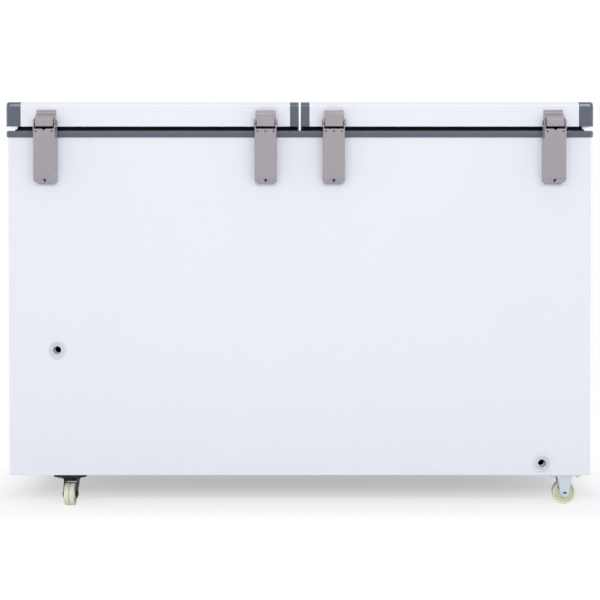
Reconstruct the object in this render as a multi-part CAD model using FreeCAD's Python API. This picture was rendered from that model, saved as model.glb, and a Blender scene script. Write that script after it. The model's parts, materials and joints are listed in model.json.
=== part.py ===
import FreeCAD, Part
import math
import os

# Dual zone chest freezer in mm. +X is the right as seen from the front, +Y the rear, +Z up.
# The origin is on the floor, in the middle of the whole freezer's footprint.

os.makedirs("parts", exist_ok=True)
V = FreeCAD.Vector

# Driving dimensions
cabinet_width = 1242.0
cabinet_depth = 620.0
cabinet_height = 721.0
castor_height = 75.0
wall = 60.0
partition = 52.0
compartment_height = 242.0
compartment_share = 0.2
frame_height = 14.0
frame_overhang = 4.0
seal_gap = 9.0
lid_height = 52.0
lid_gap = 4.4
hinge_projection = 35.0
handle_projection = 31.0

# Sheets and fits
sheet = 1.0
seam = 0.3
running_gap = 0.1
seat_gap = 0.2
face_gap = 0.3
past = 5.0

# Planes that most pieces share
half_width = cabinet_width / 2
front_projection = handle_projection + frame_overhang
whole_depth = cabinet_depth + front_projection + hinge_projection
rear_y = whole_depth / 2 - hinge_projection
front_y = rear_y - cabinet_depth
base_z = castor_height
case_top = base_z + cabinet_height
frame_top = case_top + frame_height
lid_bottom = frame_top + seal_gap
lid_top = lid_bottom + lid_height
inner_half = half_width - sheet
inner_front = front_y + sheet
inner_rear = rear_y - sheet

# Cabinet corners
front_corner = 10.0
rear_corner = 4.0
rear_return = 8.0

# Storage zones
zone_inner_x = partition / 2
zone_outer_x = half_width - wall
zone_front_y = front_y + wall
zone_rear_y = rear_y - wall
zone_floor = base_z + wall + 2 * sheet
zone_corner = 22.0
compartment_x = half_width - compartment_share * cabinet_width
compartment_top = base_z + compartment_height
shelf_x = compartment_x - wall + sheet
shelf_z = compartment_top + wall + 2 * sheet

# Top frame
frame_corner = 10.0
frame_edge = 3.0
ledge_width = 12.0
ledge_depth = 6.0

# Drains
drain_inset = 104.0
drain_above_base = 26.0
drain_below_shelf = 36.0
drain_drop_inset = 45.0
drain_flange_radius = 18.5
drain_flange = 5.0
drain_ring_radius = 14.5
drain_ring_depth = 2.6
drain_body_radius = 11.0
drain_body_length = 22.0
drain_pipe_radius = 10.0
drain_bore_radius = 7.15
drain_socket_radius = 8.85
drain_socket_depth = 19.0
drain_channel = 12.0

# Hinges
hinge_outer_inset = 83.0
hinge_inner_x = 72.0
hinge_width = 46.0
hinge_sheet = 2.0
hinge_below_frame = 114.0
hinge_slope = 11.0
hinge_front_rise = 2.5
hinge_end_half = 15.5
hinge_end_height = 6.0
hinge_lid_space = 1.0
pin_rise = 16.5
pin_out = 20.0
pin_radius = 4.0
pin_head_radius = 5.5
pin_head = 1.5
ear_radius = 9.0
notch_half = 3.5
notch_depth = 4.0
pip_radius = 1.8
pip_drop = 5.0
pip_inset = 6.2
leaf_width = 41.0
leaf_sheet = 2.5
leaf_boss = 8.0
leaf_out = 33.5
leaf_flap_drop = 8.5
leaf_top_drop = 17.0
leaf_bend = 3.5
leaf_bevel = 5.0
leaf_shoulder_rise = 9.5
flap_width = 37.0
step_plate = 7.5
step_slope_drop = 17.0
step_flap_drop = 21.0
box_shoulder_drop = 3.4
box_flap_drop = 8.5
housing_bend = 3.0
spring_wire = 1.2
spring_radius = 7.0
spring_pitch = 3.2
spring_turns = 8.0
spring_leg_drop = 45.0
screw_radius = 1.5
screw_head_radius = 2.6
screw_head = 2.0
screw_length = 9.0
screw_slot = 0.8
screw_slot_depth = 1.0
screw_slot_reach = 1.8
screw_access_radius = 2.9
screw_low = 8.5
screw_high = 28.0
screw_half = 11.0

# Lids
lid_edge = 9.0
cap_wall = 3.0
inner_cap_length = 18.5
outer_cap_length = 32.0
lid_liner_sheet = 1.5
plug_depth = 7.0
plug_space = 6.0
gasket_width = 18.0
gasket_neck_inset = 4.0
gasket_pad = 4.0
gasket_outer_inset = 16.5
gasket_inner_inset = 1.5
handle_length = 230.0
handle_wall = 6.0
handle_back = 5.0
handle_top_drop = 10.0
handle_front_drop = 15.0
handle_bottom_rise = 3.0
handle_roof = 8.0
handle_edge = 4.0
lock_boss = 44.0
lock_radius = 9.0
lock_length = 20.0
lock_recess = 0.5
lock_rise = 17.0
key_slot = 2.0
key_slot_height = 9.0
key_slot_depth = 8.0

# Castors
rigid_inset = 43.5
swivel_inset = 123.0
castor_from_rear = 70.0
wheel_radius = 25.0
wheel_width = 22.0
wheel_web = 9.0
wheel_rim = 5.0
wheel_hub_radius = 10.0
wheel_edge = 2.0
axle_radius = 4.0
axle_head_radius = 6.5
axle_head = 3.0
leg_sheet = 2.5
leg_space = 1.5
leg_foot_radius = 9.5
leg_shoulder_drop = 3.0
leg_top_half = 16.5
plate_half = 35.0
plate_sheet = 3.0
plate_rise = 9.0
plate_corner = 8.0
rigid_plate_half_y = 26.0
bolt_pitch_half = 27.0
bolt_pitch_half_rigid_y = 20.5
bolt_radius = 3.0
bolt_head_radius = 5.0
bolt_head = 3.5
bolt_grip = 10.0
bolt_pocket = 5.0
race_radius = 27.0
race_height = 6.0
kingpin_radius = 5.0
kingpin_head_radius = 9.0
kingpin_head = 3.0
crown_sheet = 3.3
crown_half = 20.0
crown_nose = 8.0
trail = 22.0

# Machine compartment
tray_sheet = 2.0
tray_slot = 6.0
tray_slot_length = 80.0
tray_slot_count = 5
tray_slot_pitch = 18.0
compressor_radius = 72.0
compressor_height = 150.0
compressor_dome = 42.0
compressor_foot_edge = 18.0
compressor_band = 2.0
compressor_band_height = 6.0
compressor_from_rear = 190.0
foot_half_x = 90.0
foot_half_y = 62.0
foot_sheet = 3.0
foot_corner = 12.0
mount_height = 14.0
mount_radius = 11.0
mount_half_x = 74.0
mount_half_y = 46.0
stub_radius = 5.5
stub_reach = 14.0
stub_low = 49.0
stub_high = 110.0
relay_half = 24.0
relay_depth = 30.0
line_radius = 3.5
line_bend = 16.0
suction_radius = 4.0
capillary_radius = 1.2
line_entry = 20.0
line_hole = 5.5
drier_radius = 9.0
drier_length = 90.0
drier_taper = 8.0
drier_from_wall = 30.0
drier_from_rear = 60.0
drier_drop = 57.0

# Tube coils in the walls
coil_radius = 3.5
condenser_runs = 8
condenser_low = 65.0
condenser_high = 166.0
condenser_left = 141.0
condenser_right = 40.0
condenser_return = 40.0
evaporator_runs = 8
evaporator_inset = 45.0
evaporator_from_top = 60.0
evaporator_from_shelf = 40.0
coil_bend_share = 0.45
coil_room = 12.0

# Grille and control panel
grille_half_y = 95.0
grille_half_z = 70.0
grille_lip = 6.0
grille_sheet = 2.5
grille_slot = 6.0
grille_slots = 9
grille_rib_half = 3.0
panel_half_x = 92.0
panel_half_z = 62.0
panel_lip = 6.0
panel_sheet = 3.0
panel_corner = 6.0
panel_slots = 6
panel_slot = 4.0
knob_x = 52.0
knob_z = 22.0
knob_radius = 17.0
knob_length = 14.0
knob_grip_half = 4.0
knob_grip_depth = 8.0
knob_edge = 1.5
shaft_radius = 3.0
shaft_length = 14.0
thermostat_half = 20.0
thermostat_depth = 18.0
lamp_radius = 3.0
lamp_pitch = 11.0
lamp_dome = 1.5
lamp_depth = 6.0

# Baskets
basket_share = 0.49
basket_height = 190.0
basket_bar = 3.0
basket_pitch = 42.0
basket_side_space = 3.0
basket_end_space = 14.0
basket_lip = 3.0


def box(x0, x1, y0, y1, z0, z1):
    return Part.makeBox(x1 - x0, y1 - y0, z1 - z0, V(x0, y0, z0))


def rod_x(x0, x1, y, z, radius):
    return Part.makeCylinder(radius, x1 - x0, V(x0, y, z), V(1, 0, 0))


def rod_y(x, y0, y1, z, radius):
    return Part.makeCylinder(radius, y1 - y0, V(x, y0, z), V(0, 1, 0))


def rod_z(x, y, z0, z1, radius):
    return Part.makeCylinder(radius, z1 - z0, V(x, y, z0), V(0, 0, 1))


def prism_x(points, x0, x1):
    """A polygon of (y, z) points drawn out from x0 to x1."""
    corners = [V(x0, y, z) for y, z in points]
    face = Part.Face(Part.makePolygon(corners + corners[:1]))
    return face.extrude(V(x1 - x0, 0, 0))


def prism_y(points, y0, y1):
    """A polygon of (x, z) points drawn out from y0 to y1."""
    corners = [V(x, y0, z) for x, z in points]
    face = Part.Face(Part.makePolygon(corners + corners[:1]))
    return face.extrude(V(0, y1 - y0, 0))


def edges_along(shape, axis, test):
    """Straight edges parallel to an axis whose middle point passes a test."""
    found = []
    for edge in shape.Edges:
        ends = [vertex.Point for vertex in edge.Vertexes]
        if len(ends) == 2 and (ends[1] - ends[0]).cross(axis).Length < seam:
            if test((ends[0] + ends[1]) * 0.5):
                found.append(edge)
    return found


def round_upright(shape, radius, test=lambda middle: True):
    return shape.makeFillet(radius, edges_along(shape, V(0, 0, 1), test))


def tube(points, bend, radius):
    """One unbroken round tube along straight runs with a circular bend at each corner."""
    edges = []
    start = points[0]
    for before, corner, after in zip(points, points[1:], points[2:]):
        towards = (before - corner).normalize()
        away = (after - corner).normalize()
        half_angle = towards.getAngle(away) / 2
        cut_back = bend / math.tan(half_angle)
        first = corner + towards * cut_back
        last = corner + away * cut_back
        inward = (towards + away).normalize()
        centre = corner + inward * (bend / math.sin(half_angle))
        middle = centre - inward * bend
        edges.append(Part.makeLine(start, first))
        edges.append(Part.Arc(first, middle, last).toShape())
        start = last
    edges.append(Part.makeLine(start, points[-1]))
    heading = points[1] - points[0]
    ring = Part.Wire(Part.makeCircle(radius, points[0], heading))
    return Part.Wire(edges).makePipeShell([ring], True, False)


def mirrored(shape, side):
    """The shape as it is for the right side (+1), or its mirror image for the left (-1)."""
    return shape if side > 0 else shape.mirror(V(0, 0, 0), V(1, 0, 0))


def joined(shapes):
    return shapes[0].multiFuse(shapes[1:]).removeSplitter()


def cabinet_prism(inset, z0, z1):
    """The cabinet's outline drawn in by an inset, from z0 to z1."""
    body = box(-half_width + inset, half_width - inset, front_y + inset, rear_y - inset, z0, z1)
    middle_y = (front_y + rear_y) / 2
    body = round_upright(body, front_corner - inset, lambda middle: middle.y < middle_y)
    return round_upright(body, rear_corner - inset, lambda middle: middle.y > middle_y)


def zone_volume(side, grow, top):
    """The room in one storage zone, enlarged on every wall by grow."""
    room = box(
        zone_inner_x - grow, zone_outer_x + grow, zone_front_y - grow, zone_rear_y + grow,
        zone_floor - grow, top,
    )
    room = round_upright(room, zone_corner + grow)
    if side > 0:
        shelf = box(
            shelf_x + grow, half_width, front_y, rear_y, base_z, shelf_z - grow,
        )
        room = room.cut(shelf)
    return mirrored(room, side)


# Places that several pieces share
def drain_place(side):
    """The drain's outlet height and the height of the floor that it empties, on one side."""
    if side > 0:
        return shelf_z - drain_below_shelf, shelf_z
    return base_z + drain_above_base, zone_floor


drain_x = half_width - drain_inset
drain_drop_y = zone_rear_y - drain_drop_inset
hinge_outer_x = half_width - hinge_outer_inset
hinge_bottom = frame_top - hinge_below_frame
pin_y = rear_y + pin_out
pin_z = frame_top + pin_rise
hinges = {
    "left_outer": -hinge_outer_x,
    "left_inner": -hinge_inner_x,
    "right_inner": hinge_inner_x,
    "right_outer": hinge_outer_x,
}
castor_y = {"front": front_y + castor_from_rear, "rear": rear_y - castor_from_rear}
rigid_x = -half_width + rigid_inset
swivel_x = half_width - swivel_inset
plate_bottom = base_z - plate_rise - plate_sheet
compressor_x = (compartment_x + half_width) / 2
compressor_y = rear_y - compressor_from_rear
compressor_z = base_z + tray_sheet + mount_height
condenser_y = inner_rear - face_gap - coil_radius
drier_x = compartment_x + drier_from_wall
drier_z = compartment_top - drier_drop
drier_start_y = rear_y - drier_from_rear
drier_end_y = drier_start_y - drier_length
capillary_y = drier_end_y - 2 * line_bend
suction_y = compressor_y - compressor_radius - stub_reach - 2 * line_bend
grille_y = (front_y + rear_y) / 2
grille_z = (base_z + compartment_top) / 2
panel_z = grille_z
lid_front_y = front_y - frame_overhang
lid_rear_y = rear_y + frame_overhang
lid_inner_x = lid_gap / 2
lid_outer_x = half_width + frame_overhang
skin_inner_x = lid_inner_x + inner_cap_length
skin_outer_x = lid_outer_x - outer_cap_length
cap_inset = lid_edge - (lid_edge - cap_wall) / math.sqrt(3)
handle_x = (lid_inner_x + lid_outer_x) / 2
lock_z = lid_bottom + lock_rise
lock_face_y = lid_front_y - handle_projection + lock_recess
basket_length = basket_share * (zone_outer_x - zone_inner_x)
basket_outer_x = zone_outer_x - basket_side_space
basket_inner_x = basket_outer_x - basket_length
basket_front_y = zone_front_y + basket_end_space
basket_rear_y = zone_rear_y - basket_end_space
basket_rim_z = frame_top - ledge_depth + face_gap
basket_floor_z = basket_rim_z - basket_height


def hinge_screw_places(x):
    """Where the screws of one hinge housing enter the rear panel, as (x, z)."""
    high_z = case_top - screw_high
    return [
        (x, hinge_bottom + screw_low),
        (x - screw_half, high_z),
        (x + screw_half, high_z),
    ]


def castor_bolt_places():
    """Where the castor bolts go up into the cabinet, as (x, y)."""
    places = []
    for y in castor_y.values():
        for across in (-1, 1):
            for along in (-1, 1):
                places.append((rigid_x + across * bolt_pitch_half, y + along * bolt_pitch_half_rigid_y))
                places.append((swivel_x + across * bolt_pitch_half, y + along * bolt_pitch_half))
    return places


# Cabinet
def cabinet_skin(y0, y1):
    """The part of the cabinet's outer sheet that lies between y0 and y1."""
    skin = cabinet_prism(0, base_z, case_top).cut(cabinet_prism(sheet, base_z, case_top))
    return skin.common(box(-half_width, half_width, y0, y1, base_z, case_top))


def outer_case():
    """Front and both sides, folded from one sheet."""
    shell = cabinet_skin(front_y, rear_y - rear_return - seam)
    grille_window = box(
        inner_half - past, half_width + past, grille_y - grille_half_y, grille_y + grille_half_y,
        grille_z - grille_half_z, grille_z + grille_half_z,
    )
    panel_window = box(
        compressor_x - panel_half_x, compressor_x + panel_half_x, front_y - past, inner_front + past,
        panel_z - panel_half_z, panel_z + panel_half_z,
    )
    return shell.cut(grille_window).cut(panel_window)


def rear_panel():
    """Rear sheet, folded round both rear corners."""
    panel = cabinet_skin(rear_y - rear_return, rear_y)
    holes = []
    for side in (-1, 1):
        outlet_z = drain_place(side)[0]
        hole_radius = drain_body_radius + seat_gap
        holes.append(rod_y(side * drain_x, inner_rear - past, rear_y + past, outlet_z, hole_radius))
    for x in hinges.values():
        for screw_x, screw_z in hinge_screw_places(x):
            holes.append(rod_y(screw_x, inner_rear - past, rear_y + past, screw_z, screw_radius + seat_gap))
    return panel.cut(holes)


def line_openings():
    """Room for the tubes where they pass through the folded bottom into the compartment."""
    condenser_tail = box(
        compartment_x - past, compartment_x + past, condenser_y - line_hole, inner_rear,
        base_z + condenser_low - line_hole, base_z + condenser_low + line_hole,
    )
    condenser_exit = box(
        compartment_x - past, compartment_x + past, condenser_y - line_hole, inner_rear,
        drier_z - line_hole, drier_z + line_hole,
    )
    suction = box(
        compressor_x - line_hole, compressor_x + line_hole, suction_y - line_hole, suction_y + line_hole,
        compartment_top - past, compartment_top + line_entry + face_gap,
    )
    capillary = box(
        drier_x - line_hole, drier_x + line_hole, capillary_y - line_hole, capillary_y + line_hole,
        compartment_top - past, compartment_top + line_entry + face_gap,
    )
    return [condenser_tail, condenser_exit, suction, capillary]


def base_pan():
    """Bottom sheet, folded up and over the machine compartment."""
    outline = [
        (-half_width, base_z),
        (compartment_x, base_z),
        (compartment_x, compartment_top - sheet),
        (half_width, compartment_top - sheet),
        (half_width, compartment_top),
        (compartment_x - sheet, compartment_top),
        (compartment_x - sheet, base_z + sheet),
        (-half_width, base_z + sheet),
    ]
    pan = prism_y(outline, front_y, rear_y).common(cabinet_prism(sheet, base_z, case_top))
    holes = [
        rod_z(x, y, base_z - past, base_z + past, bolt_radius + seat_gap)
        for x, y in castor_bolt_places() if x < 0
    ]
    return pan.cut(holes + line_openings())


def coil_pocket(side):
    """The hollow beside one zone's front wall that holds its evaporator."""
    depth = 2 * coil_radius + 2 * face_gap
    pocket = box(
        zone_inner_x + evaporator_inset - coil_room, zone_outer_x - evaporator_inset + coil_room,
        zone_front_y - sheet - depth, zone_front_y,
        shelf_z + evaporator_from_shelf - coil_room, case_top - evaporator_from_top + coil_room,
    )
    return mirrored(pocket, side)


def foam_body():
    """Foam that fills the cabinet between the outer sheets and the two liners."""
    foam = cabinet_prism(sheet, base_z + sheet, case_top)
    compartment = box(compartment_x - sheet, half_width, front_y, rear_y, base_z, compartment_top)
    hollows = [compartment]
    for side in (-1, 1):
        hollows.append(zone_volume(side, sheet, case_top + past))
        hollows.append(coil_pocket(side))
        outlet_z, floor_z = drain_place(side)
        x = side * drain_x
        hollows.append(box(
            x - drain_channel, x + drain_channel, drain_drop_y - drain_channel, rear_y,
            outlet_z - drain_channel, outlet_z + drain_channel,
        ))
        hollows.append(box(
            x - drain_channel, x + drain_channel, drain_drop_y - drain_channel,
            drain_drop_y + drain_channel, outlet_z, floor_z,
        ))
    condenser_top = case_top - condenser_high + coil_room
    condenser_depth = 2 * coil_radius + 2 * face_gap
    hollows.append(box(
        -half_width + condenser_left - coil_room, compartment_x, inner_rear - condenser_depth, rear_y,
        base_z + condenser_low - coil_room, condenser_top,
    ))
    pocket = screw_radius + seat_gap
    for x in hinges.values():
        for screw_x, screw_z in hinge_screw_places(x):
            hollows.append(box(
                screw_x - pocket, screw_x + pocket, inner_rear - screw_length, rear_y,
                screw_z - pocket, screw_z + pocket,
            ))
    for x, y in castor_bolt_places():
        if x < 0:
            hollows.append(box(
                x - bolt_pocket, x + bolt_pocket, y - bolt_pocket, y + bolt_pocket,
                base_z, base_z + bolt_grip + face_gap,
            ))
    return foam.cut(hollows + line_openings())


def zone_liner(side):
    outside = zone_volume(side, sheet, case_top)
    liner = outside.cut(zone_volume(side, 0, case_top + past))
    floor_z = drain_place(side)[1]
    hole = rod_z(
        side * drain_x, drain_drop_y, floor_z - past, floor_z + past, drain_pipe_radius + seat_gap,
    )
    return liner.cut(hole)


def top_frame():
    """Grey collar round the rim, with the bar between the zones and a ledge for the baskets."""
    ring = box(
        -lid_outer_x, lid_outer_x, lid_front_y, lid_rear_y, case_top, frame_top,
    )
    ring = round_upright(ring, frame_corner)
    rim_edges = [
        edge for edge in ring.Edges
        if abs(edge.BoundBox.ZMax - edge.BoundBox.ZMin) < seam
    ]
    ring = ring.makeFillet(frame_edge, rim_edges)
    for side in (-1, 1):
        ring = ring.cut(zone_volume(side, 0, frame_top + past))
        for front, rear in (
            (zone_front_y - ledge_width, zone_front_y + zone_corner),
            (zone_rear_y - zone_corner, zone_rear_y + ledge_width),
        ):
            ledge = box(
                zone_inner_x, zone_outer_x, front, rear, frame_top - ledge_depth, frame_top + past,
            )
            ring = ring.cut(mirrored(ledge, side))
    return ring


def drain_outlet(side):
    """Drain fitting: stepped flange outside, socket for a hose, pipe to the zone's floor."""
    outlet_z, floor_z = drain_place(side)
    x = side * drain_x
    face = rear_y + drain_flange
    flange = rod_y(x, rear_y, face, outlet_z, drain_flange_radius)
    rim = [edge for edge in flange.Edges if edge.BoundBox.YMin > rear_y + drain_flange / 2]
    flange = flange.makeFillet(drain_flange / 3, rim)
    step = rod_y(x, face - drain_ring_depth, face + past, outlet_z, drain_ring_radius)
    step = step.cut(rod_y(x, rear_y, face + past, outlet_z, drain_body_radius))
    flange = flange.cut(step)
    body = rod_y(x, rear_y - drain_body_length, rear_y, outlet_z, drain_body_radius)
    across = rod_y(x, drain_drop_y, rear_y, outlet_z, drain_pipe_radius)
    elbow = Part.makeSphere(drain_pipe_radius, V(x, drain_drop_y, outlet_z))
    down = rod_z(x, drain_drop_y, outlet_z, floor_z, drain_pipe_radius)
    fitting = joined([flange, body, across, elbow, down])
    bore = rod_y(x, drain_drop_y, face + past, outlet_z, drain_bore_radius)
    socket = rod_y(x, face - drain_socket_depth, face + past, outlet_z, drain_socket_radius)
    turn = Part.makeSphere(drain_bore_radius, V(x, drain_drop_y, outlet_z))
    drop = rod_z(x, drain_drop_y, outlet_z, floor_z + past, drain_bore_radius)
    return fitting.cut([bore, socket, turn, drop])


# Hinges
def hinge_housing(x, notched):
    """Pressed housing screwed to the rear panel, with two ears that hold the pin."""
    half = hinge_width / 2
    front = rear_y + hinge_projection
    front_top = frame_top + hinge_front_rise
    slope_top = hinge_bottom + hinge_slope
    outside = prism_x(
        [(rear_y, hinge_bottom), (front, slope_top), (front, front_top), (rear_y, front_top)],
        x - half, x + half,
    )
    bends = edges_along(outside, V(0, 0, 1), lambda middle: middle.y > front - seam)
    bends += edges_along(outside, V(1, 0, 0), lambda middle: abs(middle.z - slope_top) < seam)
    outside = outside.makeFillet(housing_bend, bends)
    thick = hinge_sheet * math.hypot(hinge_slope, hinge_projection) / hinge_projection
    steepness = hinge_slope / hinge_projection
    inside_front = front - hinge_sheet
    inside = prism_x(
        [
            (rear_y, hinge_bottom + thick),
            (inside_front, slope_top + thick - hinge_sheet * steepness),
            (inside_front, front_top + past),
            (rear_y, front_top + past),
        ],
        x - half + hinge_sheet, x + half - hinge_sheet,
    )
    strap = box(
        x - half, x + half, rear_y, rear_y + hinge_sheet,
        hinge_bottom + thick, case_top - face_gap,
    )
    shell = outside.cut(inside).fuse(strap)
    ears = []
    for left in (x - half, x + half - hinge_sheet):
        right = left + hinge_sheet
        web = prism_x(
            [
                (lid_rear_y + hinge_lid_space, frame_top),
                (front, frame_top),
                (front, front_top),
                (pin_y + ear_radius, pin_z),
                (pin_y - ear_radius, pin_z),
            ],
            left, right,
        )
        ears += [web, rod_x(left, right, pin_y, pin_z, ear_radius)]
    shell = joined([shell] + ears)
    frame_room = box(
        x - hinge_width, x + hinge_width, rear_y - past, lid_rear_y + hinge_lid_space,
        case_top - face_gap, pin_z + ear_radius,
    )
    pin_hole = rod_x(x - hinge_width, x + hinge_width, pin_y, pin_z, pin_radius + running_gap)
    notch = prism_y(
        [(x - notch_half, front_top), (x + notch_half, front_top), (x, front_top - notch_depth)],
        inside_front - past, front + past,
    )
    pip_z = front_top - pip_drop
    pips = [
        rod_y(x + across * (half - pip_inset), inside_front - past, front + past, pip_z, pip_radius)
        for across in (-1, 0, 1)
    ]
    if notched:
        pips[1] = notch
    corners = [
        prism_y(
            [
                (x + across * half, hinge_bottom),
                (x + across * hinge_end_half, hinge_bottom),
                (x + across * half, hinge_bottom + hinge_end_height),
            ],
            rear_y - past, front + past,
        )
        for across in (-1, 1)
    ]
    low_x, low_z = hinge_screw_places(x)[0]
    access = rod_y(low_x, rear_y + hinge_sheet, front + past, low_z, screw_access_radius)
    holes = [
        rod_y(screw_x, rear_y - past, rear_y + past, screw_z, screw_radius + seat_gap)
        for screw_x, screw_z in hinge_screw_places(x)
    ]
    return shell.cut([frame_room, pin_hole, access] + pips + corners + holes)


def leaf_outline(stepped):
    """The leaf's outer side line from the lid's rear face to the foot of its flap, as (y, z)."""
    top = lid_top - leaf_top_drop
    flap = rear_y + leaf_out
    foot = pin_z - leaf_flap_drop
    back = lid_rear_y
    if stepped:
        middle = [
            (back + leaf_sheet, top),
            (back + leaf_sheet, top - step_plate),
            (flap - leaf_bevel, top - step_slope_drop),
            (flap, top - step_flap_drop),
        ]
    else:
        middle = [
            (back + leaf_sheet, top),
            (flap - leaf_bevel, top - box_shoulder_drop),
            (flap, top - box_flap_drop),
        ]
    return [(back, top)] + middle + [(flap, foot), (back, foot)]


def hinge_leaf(x, stepped):
    """Boxed leaf on the lid's rear face, open below, with two cheeks that turn on the pin."""
    half = leaf_width / 2
    flap_half = flap_width / 2
    shoulder = pin_z + leaf_shoulder_rise
    outline = leaf_outline(stepped)
    block = prism_x(outline, x - half, x + half)
    bent = outline[2:-2]
    bends = edges_along(
        block, V(1, 0, 0),
        lambda middle: any(math.hypot(middle.y - y, middle.z - z) < seam for y, z in bent),
    )
    block = block.makeFillet(leaf_bend, bends)
    sides = [
        box(x + near, x + far, rear_y, rear_y + hinge_projection, pin_z - leaf_boss - past, shoulder)
        for near, far in ((-half - past, -flap_half), (flap_half, half + past))
    ]
    block = block.cut(sides)
    bosses = rod_x(x - flap_half, x + flap_half, pin_y, pin_z, leaf_boss)
    corners = [V(x - flap_half + leaf_sheet, y, z) for y, z in outline]
    face = Part.Face(Part.makePolygon(corners + corners[:1]))
    inner_width = flap_width - 2 * leaf_sheet
    hollow = face.makeOffset2D(-leaf_sheet, 2).extrude(V(inner_width, 0, 0))
    mouth = box(
        x - flap_half + leaf_sheet, x + flap_half - leaf_sheet, lid_rear_y + leaf_sheet,
        rear_y + leaf_out - leaf_sheet, pin_z - leaf_boss - past, pin_z,
    )
    pin_hole = rod_x(x - hinge_width, x + hinge_width, pin_y, pin_z, pin_radius + running_gap)
    return joined([block, bosses]).cut([hollow, mouth, pin_hole])


def cross_screw(x, z, y_seat):
    """A screw whose head lies on y_seat and whose shank goes in towards the front."""
    head = rod_y(x, y_seat, y_seat + screw_head, z, screw_head_radius)
    shank = rod_y(x, inner_rear - screw_length + face_gap, y_seat, z, screw_radius)
    reach = screw_slot_reach
    top = y_seat + screw_head
    slots = [
        box(x - reach, x + reach, top - screw_slot_depth, top, z - screw_slot / 2, z + screw_slot / 2),
        box(x - screw_slot / 2, x + screw_slot / 2, top - screw_slot_depth, top, z - reach, z + reach),
    ]
    return head.fuse(shank).cut(slots)


def hinge_fasteners():
    """The four hinge pins and the screws of the four housings."""
    pieces = []
    for x in hinges.values():
        half = hinge_width / 2 + face_gap
        shaft = rod_x(x - half, x + half, pin_y, pin_z, pin_radius)
        heads = [
            rod_x(x - half - pin_head, x - half, pin_y, pin_z, pin_head_radius),
            rod_x(x + half, x + half + pin_head, pin_y, pin_z, pin_head_radius),
        ]
        pieces.append(joined([shaft] + heads))
        for screw_x, screw_z in hinge_screw_places(x):
            pieces.append(cross_screw(screw_x, screw_z, rear_y + hinge_sheet))
    return Part.makeCompound(pieces)


def hinge_spring(x):
    """Torsion spring round the pin, between the leaf's cheeks, with a leg against the housing."""
    foot_y = pin_out - hinge_sheet - face_gap - spring_wire
    reach = math.hypot(foot_y, spring_leg_drop)
    leg = math.sqrt(reach ** 2 - spring_radius ** 2)
    touch = math.atan2(-spring_leg_drop, foot_y) + math.acos(spring_radius / reach)
    length = spring_pitch * spring_turns
    helix = Part.makeHelix(spring_pitch, length, spring_radius)
    helix.rotate(V(0, 0, 0), V(0, 1, 0), 90)
    helix.rotate(V(0, 0, 0), V(1, 0, 0), math.degrees(touch) + 90)
    rise = spring_pitch / (2 * math.pi * spring_radius)
    first = V(0, spring_radius * math.cos(touch), spring_radius * math.sin(touch))
    heading = V(rise, -math.sin(touch), math.cos(touch)).normalize()
    foot = first - heading * leg
    ring = Part.Wire(Part.makeCircle(spring_wire, foot, heading))
    path = Part.Wire([Part.makeLine(foot, first)] + helix.Edges)
    spring = path.makePipeShell([ring], True, True).mirror(V(0, 0, 0), V(0, 1, 0))
    spring.translate(V(x - length / 2, pin_y, pin_z))
    return spring


def hinge_springs():
    return Part.makeCompound([hinge_spring(x) for x in hinges.values()])


# Lids, drawn for the right side and mirrored for the left
def lid_block(x0, x1, inset, z0):
    """A length of the lid's section with its rounded top edges, drawn in by an inset."""
    block = box(x0, x1, lid_front_y + inset, lid_rear_y - inset, z0, lid_top - inset)
    high = edges_along(block, V(1, 0, 0), lambda middle: middle.z > lid_top - inset - seam)
    return block.makeFillet(lid_edge - inset, high)


def lid_skin(side):
    skin = lid_block(skin_inner_x, skin_outer_x, 0, lid_bottom)
    skin = skin.cut(lid_block(skin_inner_x - past, skin_outer_x + past, sheet, lid_bottom - past))
    return mirrored(skin, side)


def cap_pocket(x0, x1):
    """The square hollow in an end moulding, drawn in so that the rounded corners keep their wall."""
    return box(
        x0, x1, lid_front_y + cap_inset, lid_rear_y - cap_inset, lid_bottom + cap_wall, lid_top - cap_inset,
    )


def lid_outer_cap(side):
    """Grey end moulding with rounded outer edges."""
    cap = box(skin_outer_x, lid_outer_x, lid_front_y, lid_rear_y, lid_bottom, lid_top)
    edges = edges_along(cap, V(1, 0, 0), lambda middle: middle.z > lid_top - seam)
    edges += edges_along(
        cap, V(0, 1, 0), lambda middle: middle.x > lid_outer_x - seam and middle.z > lid_top - seam,
    )
    edges += edges_along(cap, V(0, 0, 1), lambda middle: middle.x > lid_outer_x - seam)
    cap = cap.makeFillet(lid_edge, edges)
    return mirrored(cap.cut(cap_pocket(skin_outer_x - past, lid_outer_x - cap_inset)), side)


def lid_inner_cap(side):
    """Grey end moulding beside the other lid, with square ends."""
    cap = lid_block(lid_inner_x, skin_inner_x, 0, lid_bottom)
    return mirrored(cap.cut(cap_pocket(lid_inner_x + cap_wall, skin_inner_x + past)), side)


def plug_box(inset, z1):
    """The shallow plug under the lid, inside the gasket."""
    edge = gasket_width + plug_space + inset
    return box(
        lid_inner_x + gasket_inner_inset + edge, lid_outer_x - gasket_outer_inset - edge,
        lid_front_y + gasket_outer_inset + edge, lid_rear_y - gasket_outer_inset - edge,
        lid_bottom - plug_depth + inset, z1,
    )


def lid_liner(side):
    plate = box(
        skin_inner_x, skin_outer_x, lid_front_y + sheet, lid_rear_y - sheet,
        lid_bottom, lid_bottom + lid_liner_sheet,
    )
    liner = plate.fuse(plug_box(0, lid_bottom + lid_liner_sheet))
    return mirrored(liner.cut(plug_box(lid_liner_sheet, lid_bottom + past)), side)


def lid_foam(side):
    middle = lid_block(skin_inner_x, skin_outer_x, sheet, lid_bottom + lid_liner_sheet)
    ends = cap_pocket(lid_inner_x + cap_wall, lid_outer_x - cap_inset)
    plug = plug_box(lid_liner_sheet, lid_bottom + past)
    return mirrored(joined([middle, ends, plug]), side)


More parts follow.
